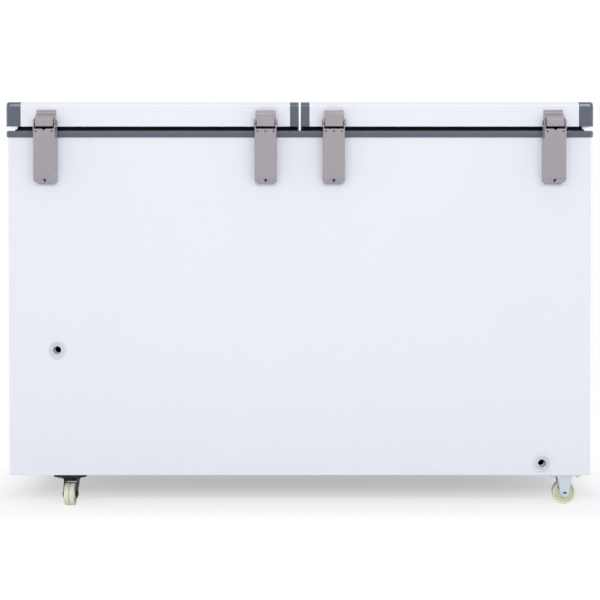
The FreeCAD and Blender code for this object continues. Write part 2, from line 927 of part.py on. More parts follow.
def gasket_ring(inset, z0, z1):
    outside = box(
        lid_inner_x + gasket_inner_inset + inset, lid_outer_x - gasket_outer_inset - inset,
        lid_front_y + gasket_outer_inset + inset, lid_rear_y - gasket_outer_inset - inset, z0, z1,
    )
    depth = gasket_width - inset
    inside = box(
        lid_inner_x + gasket_inner_inset + depth, lid_outer_x - gasket_outer_inset - depth,
        lid_front_y + gasket_outer_inset + depth, lid_rear_y - gasket_outer_inset - depth, z0, z1,
    )
    return outside.cut(inside)


def lid_gasket(side):
    pad_top = frame_top + face_gap + gasket_pad
    pad = gasket_ring(0, frame_top + face_gap, pad_top)
    neck = gasket_ring(gasket_neck_inset, pad_top, lid_bottom)
    return mirrored(joined([pad, neck]), side)


def finger_space(across):
    """The hollow behind one half of the handle, open below."""
    near = handle_x + across * lock_boss / 2
    far = handle_x + across * (handle_length / 2 - handle_wall)
    return box(
        min(near, far), max(near, far), lid_front_y - handle_projection + handle_wall,
        lid_front_y - handle_back, lid_bottom - past, lid_top - handle_front_drop - handle_roof,
    )


def lid_handle(side):
    """Grip on the lid's front edge, with a boss in the middle for the lock."""
    front = lid_front_y - handle_projection
    grip = prism_x(
        [
            (lid_front_y, lid_bottom + handle_bottom_rise),
            (front, lid_bottom + handle_bottom_rise),
            (front, lid_top - handle_front_drop),
            (lid_front_y, lid_top - handle_top_drop),
        ],
        handle_x - handle_length / 2, handle_x + handle_length / 2,
    )
    edges = edges_along(grip, V(1, 0, 0), lambda middle: middle.y < front + seam)
    edges += edges_along(grip, V(0, 0, 1), lambda middle: middle.y < front + seam)
    grip = grip.makeFillet(handle_edge, edges)
    lock_end = lock_face_y + lock_length + face_gap
    lock_hole = rod_y(handle_x, front - past, lock_end, lock_z, lock_radius + running_gap)
    return mirrored(grip.cut([finger_space(-1), finger_space(1), lock_hole]), side)


def lid_lock(side):
    """Key barrel that turns in the handle's boss."""
    barrel = rod_y(handle_x, lock_face_y, lock_face_y + lock_length, lock_z, lock_radius)
    slot = box(
        handle_x - key_slot / 2, handle_x + key_slot / 2, lock_face_y, lock_face_y + key_slot_depth,
        lock_z - key_slot_height / 2, lock_z + key_slot_height / 2,
    )
    return mirrored(barrel.cut(slot), side)


# Castors, drawn at the origin with the top of the plate at base_z and rolling along X
def castor_wheel():
    """Wheel with a rim, a recessed web and a hub, its axle along Y."""
    half = wheel_width / 2
    body = rod_y(0, -half, half, wheel_radius, wheel_radius)
    edges = [edge for edge in body.Edges if edge.BoundBox.YLength < seam]
    body = body.makeFillet(wheel_edge, edges)
    for across in (-1, 1):
        outer = across * half
        inner = across * wheel_web / 2
        hollow = rod_y(0, min(outer, inner), max(outer, inner), wheel_radius, wheel_radius - wheel_rim)
        hollow = hollow.cut(rod_y(0, -half, half, wheel_radius, wheel_hub_radius))
        body = body.cut(hollow)
    return body.cut(rod_y(0, -half, half, wheel_radius, axle_radius + running_gap))


def castor_leg(across, top_z, top_x):
    """One leg of a fork, from top_z down round the axle, centred on top_x at its top."""
    near = wheel_width / 2 + leg_space
    y0 = near if across > 0 else -near - leg_sheet
    shoulder = top_z - leg_shoulder_drop
    outline = [
        (top_x - leg_top_half, top_z),
        (top_x - leg_top_half, shoulder),
        (-leg_foot_radius, wheel_radius),
        (leg_foot_radius, wheel_radius),
        (top_x + leg_top_half, shoulder),
        (top_x + leg_top_half, top_z),
    ]
    leg = prism_y(outline, y0, y0 + leg_sheet)
    foot = rod_y(0, y0, y0 + leg_sheet, wheel_radius, leg_foot_radius)
    return leg.fuse(foot)


def castor_axle():
    """Bolt through both legs, with a head and a nut."""
    half = wheel_width / 2 + leg_space + leg_sheet
    shaft = rod_y(0, -half, half, wheel_radius, axle_radius)
    ends = [
        rod_y(0, -half - axle_head, -half, wheel_radius, axle_head_radius),
        rod_y(0, half, half + axle_head, wheel_radius, axle_head_radius),
    ]
    return joined([shaft] + ends)


def castor_plate(half_x, half_y, bolt_half_x, bolt_half_y):
    """Pressed plate that hangs below the cabinet on its own folded edge."""
    plate = round_upright(box(-half_x, half_x, -half_y, half_y, plate_bottom, base_z), plate_corner)
    room_x = half_x - plate_sheet
    room_y = half_y - plate_sheet
    room = box(-room_x, room_x, -room_y, room_y, plate_bottom + plate_sheet, base_z)
    plate = plate.cut(round_upright(room, plate_corner - plate_sheet))
    hole_radius = bolt_radius + seat_gap
    holes = [
        rod_z(across * bolt_half_x, along * bolt_half_y, plate_bottom, base_z, hole_radius)
        for across in (-1, 1) for along in (-1, 1)
    ]
    return plate.cut(holes)


def axle_holes(shape):
    reach = wheel_width + leg_sheet
    return shape.cut(rod_y(0, -reach, reach, wheel_radius, axle_radius + seat_gap))


def rigid_bracket():
    """Plate and two legs pressed from one sheet."""
    plate = castor_plate(plate_half, rigid_plate_half_y, bolt_pitch_half, bolt_pitch_half_rigid_y)
    legs = [castor_leg(across, plate_bottom, 0) for across in (-1, 1)]
    return axle_holes(joined([plate] + legs))


def swivel_plate():
    """Plate with the upper race and the kingpin, about its own middle."""
    plate = castor_plate(plate_half, plate_half, bolt_pitch_half, bolt_pitch_half)
    race_bottom = plate_bottom - race_height
    crown_bottom = race_bottom - face_gap - crown_sheet
    race = rod_z(0, 0, race_bottom, plate_bottom, race_radius)
    kingpin = rod_z(0, 0, crown_bottom - face_gap, race_bottom, kingpin_radius)
    head = rod_z(0, 0, crown_bottom - face_gap - kingpin_head, crown_bottom - face_gap, kingpin_head_radius)
    return joined([plate, race, kingpin, head])


def swivel_fork():
    """Crown that turns on the kingpin and covers the wheel, with two legs that trail it along +X."""
    crown_top = plate_bottom - race_height - face_gap
    crown_bottom = crown_top - crown_sheet
    half_y = wheel_width / 2 + leg_space + leg_sheet
    crown = box(-trail - crown_half, crown_nose, -half_y, half_y, crown_bottom, crown_top)
    crown = round_upright(crown, plate_corner)
    leg_x = crown_half - trail - leg_top_half
    legs = [castor_leg(across, crown_bottom, leg_x) for across in (-1, 1)]
    hole_radius = kingpin_radius + running_gap
    kingpin_hole = rod_z(-trail, 0, crown_bottom - past, crown_top + past, hole_radius)
    return axle_holes(joined([crown] + legs)).cut(kingpin_hole)


def placed(shape, x, y, turned):
    """A castor piece moved to its place, turned a quarter so that it rolls along Y if asked."""
    copy = shape.copy()
    if turned:
        copy.rotate(V(0, 0, 0), V(0, 0, 1), 90)
    copy.translate(V(x, y, 0))
    return copy


def castor_fasteners():
    """Plate bolts of all castors and the axles of the rigid pair."""
    pieces = []
    for x, y in castor_bolt_places():
        head = rod_z(x, y, plate_bottom - bolt_head, plate_bottom, bolt_head_radius)
        shank = rod_z(x, y, plate_bottom, base_z + bolt_grip, bolt_radius)
        pieces.append(head.fuse(shank))
    for y in castor_y.values():
        pieces.append(placed(castor_axle(), rigid_x, y, False))
    return Part.makeCompound(pieces)


# Machine compartment
def compressor_tray():
    tray = box(compartment_x, half_width, front_y, rear_y, base_z, base_z + tray_sheet)
    tray = tray.common(cabinet_prism(sheet, base_z, case_top))
    holes = [
        rod_z(x, y, base_z - past, base_z + past, bolt_radius + seat_gap)
        for x, y in castor_bolt_places() if x > 0
    ]
    middle_y = (front_y + rear_y) / 2
    for index in range(tray_slot_count):
        y = middle_y + (index - tray_slot_count / 2) * tray_slot_pitch - tray_slot_length
        holes.append(box(
            compressor_x - tray_slot_length / 2, compressor_x + tray_slot_length / 2,
            y, y + tray_slot, base_z - past, base_z + past,
        ))
    return tray.cut(holes)


def compressor():
    """Hermetic shell on its foot plate, with two stubs for the lines and a relay box."""
    x, y, z = compressor_x, compressor_y, compressor_z
    pot = rod_z(x, y, z, z + compressor_height, compressor_radius)
    top = [edge for edge in pot.Edges if edge.BoundBox.ZMin > z + compressor_height - seam]
    pot = pot.makeFillet(compressor_dome, top)
    low = [edge for edge in pot.Edges if edge.BoundBox.ZMax < z + seam]
    pot = pot.makeFillet(compressor_foot_edge, low)
    seam_z = z + compressor_height / 2
    band = rod_z(x, y, seam_z, seam_z + compressor_band_height, compressor_radius + compressor_band)
    foot = box(x - foot_half_x, x + foot_half_x, y - foot_half_y, y + foot_half_y, z, z + foot_sheet)
    foot = round_upright(foot, foot_corner)
    discharge = rod_y(x, y, y + compressor_radius + stub_reach, z + stub_low, stub_radius)
    suction = rod_y(x, y - compressor_radius - stub_reach, y, z + stub_high, stub_radius)
    relay = box(
        x - relay_half, x + relay_half, y - compressor_radius - relay_depth / 2, y,
        z + foot_sheet + past, z + foot_sheet + past + 2 * relay_half,
    )
    return joined([pot, band, foot, discharge, suction, relay])


def compressor_mounts():
    floor = base_z + tray_sheet
    pieces = [
        rod_z(
            compressor_x + across * mount_half_x, compressor_y + along * mount_half_y,
            floor, compressor_z, mount_radius,
        )
        for across in (-1, 1) for along in (-1, 1)
    ]
    return Part.makeCompound(pieces)


def condenser_tube():
    """Discharge line, the runs behind the rear panel and the line back to the drier."""
    left = -half_width + condenser_left
    right = shelf_x - condenser_right
    low = base_z + condenser_low
    high = case_top - condenser_high
    pitch = (high - low) / (condenser_runs - 1)
    back = right + condenser_return
    points = [
        V(compressor_x, compressor_y + compressor_radius + stub_reach, low),
        V(compressor_x, condenser_y, low),
    ]
    for run in range(condenser_runs):
        z = low + run * pitch
        ends = [right, left] if run % 2 == 0 else [left, right]
        if run > 0:
            points.append(V(ends[0], condenser_y, z))
        if run < condenser_runs - 1:
            points.append(V(ends[1], condenser_y, z))
    points += [
        V(back, condenser_y, high),
        V(back, condenser_y, drier_z),
        V(drier_x, condenser_y, drier_z),
        V(drier_x, drier_start_y, drier_z),
    ]
    return tube(points, line_bend, line_radius)


def refrigerant_lines():
    """Condenser with its two lines, the filter drier, the capillary and the suction line."""
    suction_start = compressor_y - compressor_radius - stub_reach
    suction_z = compressor_z + stub_high
    suction = tube(
        [
            V(compressor_x, suction_start, suction_z),
            V(compressor_x, suction_y, suction_z),
            V(compressor_x, suction_y, compartment_top + line_entry),
        ],
        line_bend, suction_radius,
    )
    capillary = tube(
        [
            V(drier_x, drier_end_y, drier_z),
            V(drier_x, capillary_y, drier_z),
            V(drier_x, capillary_y, compartment_top + line_entry),
        ],
        line_bend, capillary_radius,
    )
    return Part.makeCompound([condenser_tube(), suction, capillary, filter_drier()])


def filter_drier():
    shoulder = drier_length - drier_taper
    body = rod_y(drier_x, drier_end_y + drier_taper, drier_end_y + shoulder, drier_z, drier_radius)
    cones = [
        Part.makeCone(
            drier_radius, line_radius, drier_taper, V(drier_x, drier_end_y + shoulder, drier_z), V(0, 1, 0),
        ),
        Part.makeCone(
            line_radius, drier_radius, drier_taper, V(drier_x, drier_end_y, drier_z), V(0, 1, 0),
        ),
    ]
    return joined([body] + cones)


def evaporator_tube(side):
    """Tube laid in runs along one zone's front wall, on the foam side."""
    near = zone_inner_x + evaporator_inset
    far = zone_outer_x - evaporator_inset
    low = shelf_z + evaporator_from_shelf
    high = case_top - evaporator_from_top
    pitch = (high - low) / (evaporator_runs - 1)
    y = zone_front_y - sheet - face_gap - coil_radius
    points = []
    for run in range(evaporator_runs):
        ends = [near, far] if run % 2 == 0 else [far, near]
        points += [V(end, y, low + run * pitch) for end in ends]
    return mirrored(tube(points, pitch * coil_bend_share, coil_radius), side)


def evaporator_coils():
    return Part.makeCompound([evaporator_tube(-1), evaporator_tube(1)])


# Grille, control panel and what is on it
def side_grille():
    """Slotted cover over the window in the right side."""
    outer_y = grille_half_y + grille_lip
    outer_z = grille_half_z + grille_lip
    cover = box(
        half_width, half_width + grille_sheet, grille_y - outer_y, grille_y + outer_y,
        grille_z - outer_z, grille_z + outer_z,
    )
    pitch = 2 * grille_half_z / grille_slots
    slots = []
    for index in range(grille_slots):
        z = grille_z - grille_half_z + (index + 0.5) * pitch
        for across in (-1, 1):
            near = grille_y + across * grille_rib_half
            far = grille_y + across * (grille_half_y - grille_lip)
            slots.append(box(
                half_width - past, half_width + past, min(near, far), max(near, far),
                z - grille_slot / 2, z + grille_slot / 2,
            ))
    return cover.cut(slots)


def control_panel():
    """Front fascia with two thermostats behind it, lamp holes and a slotted lower half."""
    outer_x = panel_half_x + panel_lip
    outer_z = panel_half_z + panel_lip
    fascia = box(
        compressor_x - outer_x, compressor_x + outer_x, front_y - panel_sheet, front_y,
        panel_z - outer_z, panel_z + outer_z,
    )
    fascia = fascia.makeFillet(panel_corner, edges_along(fascia, V(0, 1, 0), lambda middle: True))
    pieces = [fascia]
    holes = []
    for across in (-1, 1):
        x = compressor_x + across * knob_x
        z = panel_z + knob_z
        pieces.append(box(
            x - thermostat_half, x + thermostat_half, front_y, front_y + thermostat_depth,
            z - thermostat_half, z + thermostat_half,
        ))
        shaft_end = front_y - panel_sheet + shaft_length + face_gap
        holes.append(rod_y(x, front_y - past, shaft_end, z, shaft_radius + running_gap))
    for index in (-1, 0, 1):
        holes.append(rod_y(
            compressor_x + index * lamp_pitch, front_y - past, front_y + past, panel_z + knob_z,
            lamp_radius + seat_gap,
        ))
    pitch = panel_half_z / panel_slots
    for index in range(panel_slots):
        z = panel_z - panel_half_z + (index + 0.5) * pitch
        holes.append(box(
            compressor_x - panel_half_x + panel_lip, compressor_x + panel_half_x - panel_lip,
            front_y - past, front_y + past, z - panel_slot / 2, z + panel_slot / 2,
        ))
    return joined(pieces).cut(holes)


def thermostat_knob(side):
    """Round knob with a raised grip bar on a shaft through the fascia."""
    x = compressor_x + side * knob_x
    z = panel_z + knob_z
    back = front_y - panel_sheet - face_gap
    front = back - knob_length
    disc = rod_y(x, front, back, z, knob_radius)
    rim = [edge for edge in disc.Edges if edge.BoundBox.YMax < front + seam]
    disc = disc.makeFillet(knob_edge, rim)
    cuts = []
    for across in (-1, 1):
        near = x + across * knob_grip_half
        far = x + across * (knob_radius + past)
        cuts.append(box(
            min(near, far), max(near, far), front - past, front + knob_grip_depth,
            z - knob_radius - past, z + knob_radius + past,
        ))
    shaft = rod_y(x, back - seam, front_y - panel_sheet + shaft_length, z, shaft_radius)
    return disc.cut(cuts).fuse(shaft)


def indicator_lamps():
    """Three domed lenses in a row between the knobs."""
    face = front_y - panel_sheet
    pieces = []
    for index in (-1, 0, 1):
        x = compressor_x + index * lamp_pitch
        lens = rod_y(x, face - lamp_dome, face - lamp_dome + lamp_depth, panel_z + knob_z, lamp_radius)
        rim = [edge for edge in lens.Edges if edge.BoundBox.YMax < face]
        pieces.append(lens.makeFillet(lamp_dome, rim))
    return Part.makeCompound(pieces)


# Baskets, drawn for the right side and mirrored for the left
def gap_spans(start, end):
    """Even gaps between bars from start to end, as pairs."""
    count = max(2, round((end - start) / basket_pitch))
    pitch = (end - start - basket_bar) / count
    return [
        (start + basket_bar + index * pitch, start + (index + 1) * pitch) for index in range(count)
    ]


def net(x_span, y_span, z_span):
    """A flat welded net that fills a box, with its bars across the box's thin side."""
    spans = [x_span, y_span, z_span]
    thin = min(range(3), key=lambda axis: spans[axis][1] - spans[axis][0])
    first, second = [axis for axis in range(3) if axis != thin]
    holes = []
    for low, high in gap_spans(*spans[first]):
        for under, over in gap_spans(*spans[second]):
            limits = [None, None, None]
            limits[thin] = (spans[thin][0] - past, spans[thin][1] + past)
            limits[first] = (low, high)
            limits[second] = (under, over)
            holes.append(box(*limits[0], *limits[1], *limits[2]))
    return box(*x_span, *y_span, *z_span).cut(holes)


def basket(side):
    """Five flat nets and two lips that hang on the frame's ledges."""
    x0, x1 = basket_inner_x, basket_outer_x
    y0, y1 = basket_front_y, basket_rear_y
    floor = (basket_floor_z, basket_floor_z + basket_bar)
    height = (floor[1], basket_rim_z)
    ledge_reach = ledge_width - face_gap
    lip_top = basket_rim_z + basket_lip
    pieces = [
        net((x0, x1), (y0, y1), floor),
        net((x0, x0 + basket_bar), (y0, y1), height),
        net((x1 - basket_bar, x1), (y0, y1), height),
        net((x0 + basket_bar, x1 - basket_bar), (y0, y0 + basket_bar), height),
        net((x0 + basket_bar, x1 - basket_bar), (y1 - basket_bar, y1), height),
        box(x0, x1, zone_front_y - ledge_reach, y0 + basket_bar, basket_rim_z, lip_top),
        box(x0, x1, y1 - basket_bar, zone_rear_y + ledge_reach, basket_rim_z, lip_top),
    ]
    return mirrored(Part.makeCompound(pieces), side)


nodes = {
    "outer_case": outer_case(),
    "rear_panel": rear_panel(),
    "base_pan": base_pan(),
    "foam_body": foam_body(),
    "zone_liner_left": zone_liner(-1),
    "zone_liner_right": zone_liner(1),
    "top_frame": top_frame(),
    "drain_outlet_left": drain_outlet(-1),
    "drain_outlet_right": drain_outlet(1),
    "hinge_fasteners": hinge_fasteners(),
    "hinge_springs": hinge_springs(),
    "compressor_tray": compressor_tray(),
    "compressor": compressor(),
    "compressor_mounts": compressor_mounts(),
    "refrigerant_lines": refrigerant_lines(),
    "evaporator_coils": evaporator_coils(),
    "side_grille": side_grille(),
    "control_panel": control_panel(),
    "indicator_lamps": indicator_lamps(),
    "thermostat_knob_left": thermostat_knob(-1),
    "thermostat_knob_right": thermostat_knob(1),
    "castor_fasteners": castor_fasteners(),
    "basket_left": basket(-1),
    "basket_right": basket(1),
}
for place, x in hinges.items():
    nodes["hinge_housing_" + place] = hinge_housing(x, "outer" in place)
    nodes["hinge_leaf_" + place] = hinge_leaf(x, "outer" in place)
for name, side in (("left", -1), ("right", 1)):
    nodes["lid_skin_" + name] = lid_skin(side)
    nodes["lid_outer_cap_" + name] = lid_outer_cap(side)
    nodes["lid_inner_cap_" + name] = lid_inner_cap(side)
    nodes["lid_liner_" + name] = lid_liner(side)
    nodes["lid_foam_" + name] = lid_foam(side)
    nodes["lid_gasket_" + name] = lid_gasket(side)
    nodes["lid_handle_" + name] = lid_handle(side)
    nodes["lid_lock_" + name] = lid_lock(side)
for end, y in castor_y.items():
    nodes["rigid_bracket_" + end] = placed(rigid_bracket(), rigid_x, y, False)
    nodes["rigid_wheel_" + end] = placed(castor_wheel(), rigid_x, y, False)
    nodes["swivel_plate_" + end] = placed(swivel_plate(), swivel_x, y, True)
    nodes["swivel_fork_" + end] = placed(swivel_fork(), swivel_x, y + trail, True)
    nodes["swivel_axle_" + end] = placed(castor_axle(), swivel_x, y + trail, True)
    nodes["swivel_wheel_" + end] = placed(castor_wheel(), swivel_x, y + trail, True)

for name, shape in nodes.items():
    shape.exportStep("parts/" + name + ".step")
    state = "valid" if shape.isValid() else "NOT VALID"
    print(name, state, len(shape.Solids), "solids", round(shape.Volume / 1000.0, 1), "cm3")
print(len(nodes), "nodes")
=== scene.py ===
"""Looks of a dual zone chest freezer: materials, detailed pieces, studio and camera.

Everything is in metres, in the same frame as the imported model: X to the right as seen from the
front, Y to the rear, Z up from the floor.
"""
import json
import math

import bmesh
import bpy
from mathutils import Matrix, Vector


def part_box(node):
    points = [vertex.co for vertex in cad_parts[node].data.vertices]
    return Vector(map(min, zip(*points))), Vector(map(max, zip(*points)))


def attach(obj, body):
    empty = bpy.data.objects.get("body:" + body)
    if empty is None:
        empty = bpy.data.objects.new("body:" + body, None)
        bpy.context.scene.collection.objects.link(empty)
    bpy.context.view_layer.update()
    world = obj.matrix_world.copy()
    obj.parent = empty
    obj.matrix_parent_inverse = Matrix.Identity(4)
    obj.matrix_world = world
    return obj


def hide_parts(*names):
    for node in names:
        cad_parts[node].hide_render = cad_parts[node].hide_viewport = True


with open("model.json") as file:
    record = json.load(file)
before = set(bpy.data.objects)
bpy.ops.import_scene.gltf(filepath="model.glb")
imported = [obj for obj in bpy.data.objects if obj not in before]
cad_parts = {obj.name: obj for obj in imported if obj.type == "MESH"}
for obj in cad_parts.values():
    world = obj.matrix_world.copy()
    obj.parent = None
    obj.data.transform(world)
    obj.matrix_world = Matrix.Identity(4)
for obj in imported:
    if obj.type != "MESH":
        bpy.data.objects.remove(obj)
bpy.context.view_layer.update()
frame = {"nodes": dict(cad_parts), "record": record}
nodes = frame["nodes"]
sides = ("left", "right")
ends = ("front", "rear")

# Camera, worked out from the photograph
image_size = 600
sensor_width = 36.0
focal_pixels = 1338.3
camera_place = Vector((0.0, 3.16, 0.6662))
camera_tilt = math.radians(1.0)
camera_shift_x = 0.0004
camera_shift_y = -0.1304

# Studio light: the soft light from all round, and each lamp's place, target, size and watts
ambient = 0.62
lamps = {
    "key_lamp": ((-0.15, 3.5, 2.1), (0.0, 0.3, 0.6), (3.4, 0.32), 40.5),
    "top_lamp": ((0.0, 0.2, 3.2), (0.0, 0.0, 0.0), (3.0, 2.4), 8.0),
    "fill_lamp": ((1.2, -3.2, 1.8), (0.0, 0.0, 0.4), (3.5, 2.65), 30.0),
    "right_lamp": ((3.2, 0.6, 1.4), (0.3, 0.0, 0.4), (1.6, 1.4), 10.0),
    "left_lamp": ((-3.2, 0.2, 1.4), (-0.3, 0.0, 0.4), (1.6, 1.4), 10.0),
}

# Floor: its size and tone, how white it is shown under, near and far from the object, and between
# which distances from the middle it goes from one to the next
floor_size = 30.0
floor_tone = 0.95
floor_share_under = 0.37
floor_share_near = 0.8
floor_share_far = 1.0
floor_rise_y = (0.05, 0.3)
floor_rise_x = (0.57, 0.78)
floor_rise_far = (0.25, 0.42)

# The screen's colour curve, and white as a socket takes it
screen_top = 255
curve_knee = 0.04045
curve_slope = 12.92
curve_offset = 0.055
curve_power = 2.4
pure_white = (1.0, 1.0, 1.0, 1.0)

# Rounding that the light finds on sharp edges, and the angle from which an edge is sharp
edge_radius = 0.0006
painted_edge = 0.0012
pressed_edge = 0.0009
drawn_edge = 0.0015
nylon_edge = 0.0004
edge_samples = 6
crease_angle = math.radians(32)

# How far wear reaches from an edge of pale parts, and how far wear with painted highlight reaches from an
# edge of moulded, lacquered and dark parts
moulded_wear_and_highlight = 0.0012
pale_wear = 0.001
lacquered_wear_and_highlight = 0.0012
dark_wear_and_highlight = 0.0009

# Cosines between which a normal comes to count as upright, and a rounded edge as worn
upright_cosines = (0.9, 0.99)
edge_cosines = (0.99, 0.8)

# How high the grain of a surface stands, and how deep light goes into nylon
brushed_grain = 0.000008
drawn_grain = 0.00003
fine_grain = 0.00004
plain_grain = 0.00005
rough_grain = 0.00006
nylon_grain = 0.00008
thick_grain = 0.0001
dipped_grain = 0.0003
foam_grain = 0.0004
embossed_grain = 0.0007
liner_waves = 0.0015
nylon_glow = (0.004, 0.0035, 0.002)

# Between these lie most of a cloudy pattern's values
cloud_span = (0.3, 0.7)

# Dust on the enamel: where it ends going up, and where it is thickest
dust_top = 0.3
dust_foot = 0.07

# Bends of wires and round corners of outlines: steps, and the most that one takes of a stretch
bend_steps = 6
bend_share = 0.45

# Wire baskets: wire_sink is the share of a wire's width between the middles of two welded wires
wire_radius = 0.0015
rim_wire_radius = 0.0022
wire_sink = 0.92
cross_wire_pitch = 0.021
long_wire_pitch = 0.042
basket_lip_reach = 0.0257
basket_bend = 0.008
lip_bend = 0.0035
wire_crease = math.radians(60)
wire_bevel_steps = 3
hoop_joint = 0.0006

# Lid seals: one half of the moulded profile, across from its middle and up from its foot
seal_half_width = 0.009
seal_half = [
    (0.0078, 0.0), (0.0087, 0.0004), (0.009, 0.0012), (0.0088, 0.0026), (0.0079, 0.0034),
    (0.0056, 0.0038), (0.0044, 0.0046), (0.0052, 0.0058), (0.0046, 0.007), (0.0036, 0.0076),
    (0.0042, 0.0087),
]

# Outer end mouldings of the lids: wall, slanted facet and rolled top
cap_edge = 0.009
cap_facet_height = 0.0046
cap_facet_run = 0.0007
cap_roll_height = 0.0046
cap_foot_edge = 0.0008
cap_steps = 24
cap_crease = math.radians(5)

# Where the painted shade inside the drain pipes begins, and where the lid hinges' darkened pins are
drain_shade_y = 0.291
shade_fade = 0.004
darkened_behind = 0.2
darkened_above = 0.6
darken_fade = 0.02

# Castor wheels
tread_groove_half = 0.0007
tread_groove_depth = 0.0009
wheel_rim = 0.0045
wheel_web_half = 0.0045
wheel_draft = 0.0008
wheel_hub_radius = 0.01
wheel_bore_radius = 0.0042
wheel_edge = 0.0017
wheel_segments = 96

# Colours on the wheels: how far from the axle each begins and where it is full, and the half
# width of the painted shade and dirt along the groove
tread_grime_out = (0.0235, 0.0247)
groove_shade_out = (0.0235, 0.0237)
groove_shade_half = 0.00175
rim_tint_out = (0.0202, 0.0196)
hub_tint_out = (0.0104, 0.0112)

# Castor bolts and axles
plate_depth = 0.012
bolt_pitch = {"rigid": (0.027, 0.0205), "swivel": (0.027, 0.027)}
bolt_head_radius = 0.005
bolt_head_height = 0.0035
bolt_shank_radius = 0.003
bolt_shank_length = 0.022
bolt_flange_height = 0.0008
bolt_hex_share = 0.88
bolt_chamfer = 0.0005
axle_radius = 0.0038
axle_beyond_wheel = 0.004
axle_head_radius = 0.0065
axle_head_height = 0.0016
axle_slot_half_length = 0.004
axle_slot_half_width = 0.0018
axle_slot_depth = 0.0012
# Height of the dark sheet painted as shade at the bottom of each rigid axle's slot
axle_slot_shade_height = 0.0006
nut_segments = 6
round_segments = 48

# Marks round the thermostat knobs, and the pointers on them
dial_marks = 8
dial_sweep = math.radians(270)
dial_inner_radius = 0.0195
dial_mark_step = 0.00045
dial_mark_length = 0.002
dial_mark_half_width = 0.0005
mark_height = 0.0003
pointer_half_width = 0.0008
pointer_start = 0.004
pointer_end = 0.0155

# Indicator lamps along X, as colours on a screen, and the width of the change between two
lamp_colours = [(52, 158, 74), (222, 158, 40), (196, 44, 38)]
lamp_colour_change = 0.0006


def srgb(red, green, blue):
    """A colour given as 0 to 255 on a screen, as the linear values that a socket takes."""
    linear = []
    for value in (red, green, blue):
        share = value / screen_top
        if share <= curve_knee:
            linear.append(share / curve_slope)
        else:
            linear.append(((share + curve_offset) / (1 + curve_offset)) ** curve_power)
    return (*linear, 1.0)


def put(tree, value, socket):
    """Links another socket's value into a socket, or sets a constant on the socket itself."""
    if isinstance(value, bpy.types.NodeSocket):
        tree.links.new(value, socket)
    else:
        socket.default_value = value


def add_node(tree, kind, inputs=None, **settings):
    """A new node with its settings, its constant inputs and its links."""
    node = tree.nodes.new(kind)
    for name, value in settings.items():
        setattr(node, name, value)
    for name, value in (inputs or {}).items():
        put(tree, value, node.inputs[name])
    return node


class Surface:
    """A material with its shader and the patterns that feed it.

    Patterns follow the object's own coordinates, which are metres.
    """

    def __init__(self, name, colour, roughness, metallic=0.0):
        self.material = bpy.data.materials.new(name)
        self.material.use_nodes = True
        self.tree = self.material.node_tree
        self.tree.nodes.clear()
        self.shader = self.node("ShaderNodeBsdfPrincipled")
        self.node("ShaderNodeOutputMaterial", {"Surface": self.shader.outputs["BSDF"]})
        self.feed("Base Color", colour)
        self.feed("Roughness", roughness)
        self.feed("Metallic", metallic)
        own = self.node("ShaderNodeTexCoord").outputs
        self.place = own["Object"]
        self.facing = own["Normal"]

    def node(self, kind, inputs=None, **settings):
        """A new node in this material."""
        return add_node(self.tree, kind, inputs, **settings)

    def feed(self, name, value):
        """Sets or links one of the shader's inputs."""
        put(self.tree, value, self.shader.inputs[name])

    def stretched(self, scale):
        """The place on the object, scaled along each axis."""
        return self.node("ShaderNodeMapping", {"Vector": self.place, "Scale": scale}).outputs["Vector"]

    def axis(self, letter):
        """One coordinate of the place on the object."""
        return self.node("ShaderNodeSeparateXYZ", {"Vector": self.place}).outputs[letter]

    def flat_tops(self):
        """1 on faces that look straight up on the object, 0 on the others."""
        up = self.node("ShaderNodeSeparateXYZ", {"Vector": self.facing}).outputs["Z"]
        return self.fade(up, upright_cosines)

    def noise(self, scale, detail=2.0, stretch=None):
        """Cloudy pattern between 0 and 1 with about scale clouds to a metre."""
        place = self.stretched(stretch) if stretch else self.place
        inputs = {"Vector": place, "Scale": scale, "Detail": detail}
        return self.node("ShaderNodeTexNoise", inputs).outputs[0]

    def cells(self, scale, output="Distance", feature="F1"):
        """Pattern of cells, about scale of them to a metre."""
        inputs = {"Vector": self.place, "Scale": scale}
        return self.node("ShaderNodeTexVoronoi", inputs, feature=feature).outputs[output]

    def fade(self, value, span, result=(0.0, 1.0)):
        """Goes from result's start to its end as value goes from span's start to its end."""
        inputs = {
            "Value": value, "From Min": span[0], "From Max": span[1],
            "To Min": result[0], "To Max": result[1],
        }
        return self.node("ShaderNodeMapRange", inputs).outputs["Result"]

    def drift(self, low, high, scale, detail):
        """Drifts between low and high in clouds."""
        return self.fade(self.noise(scale, detail), cloud_span, (low, high))

    def times(self, first, second):
        """Two values multiplied."""
        return self.node("ShaderNodeMath", {0: first, 1: second}, operation="MULTIPLY").outputs[0]

    def mix(self, factor, first, second):
        """Goes from the first colour or value to the second as factor goes from 0 to 1."""
        node = self.node("ShaderNodeMix", {0: factor}, data_type="RGBA")
        colour_inputs = [socket for socket in node.inputs if socket.type == "RGBA"]
        for socket, value in zip(colour_inputs, (first, second)):
            put(self.tree, value, socket)
        return next(socket for socket in node.outputs if socket.type == "RGBA")

    def rounded(self, radius):
        """The normal as it would be with the sharp edges rounded."""
        bevel = self.node("ShaderNodeBevel", {"Radius": radius}, samples=edge_samples)
        return bevel.outputs["Normal"]

    def edges(self, radius):
        """1 on sharp edges, 0 on flat faces."""
        flat = self.node("ShaderNodeNewGeometry").outputs["Normal"]
        inputs = {0: flat, 1: self.rounded(radius)}
        turn = self.node("ShaderNodeVectorMath", inputs, operation="DOT_PRODUCT").outputs["Value"]
        return self.fade(turn, edge_cosines)

    def bump(self, *layers, radius=edge_radius):
        """Feeds the normal from (pattern, height in metres) layers, over rounded edges."""
        normal = self.rounded(radius)
        for pattern, height in layers:
            inputs = {"Height": pattern, "Distance": height, "Normal": normal}
            normal = self.node("ShaderNodeBump", inputs).outputs["Normal"]
        self.feed("Normal", normal)


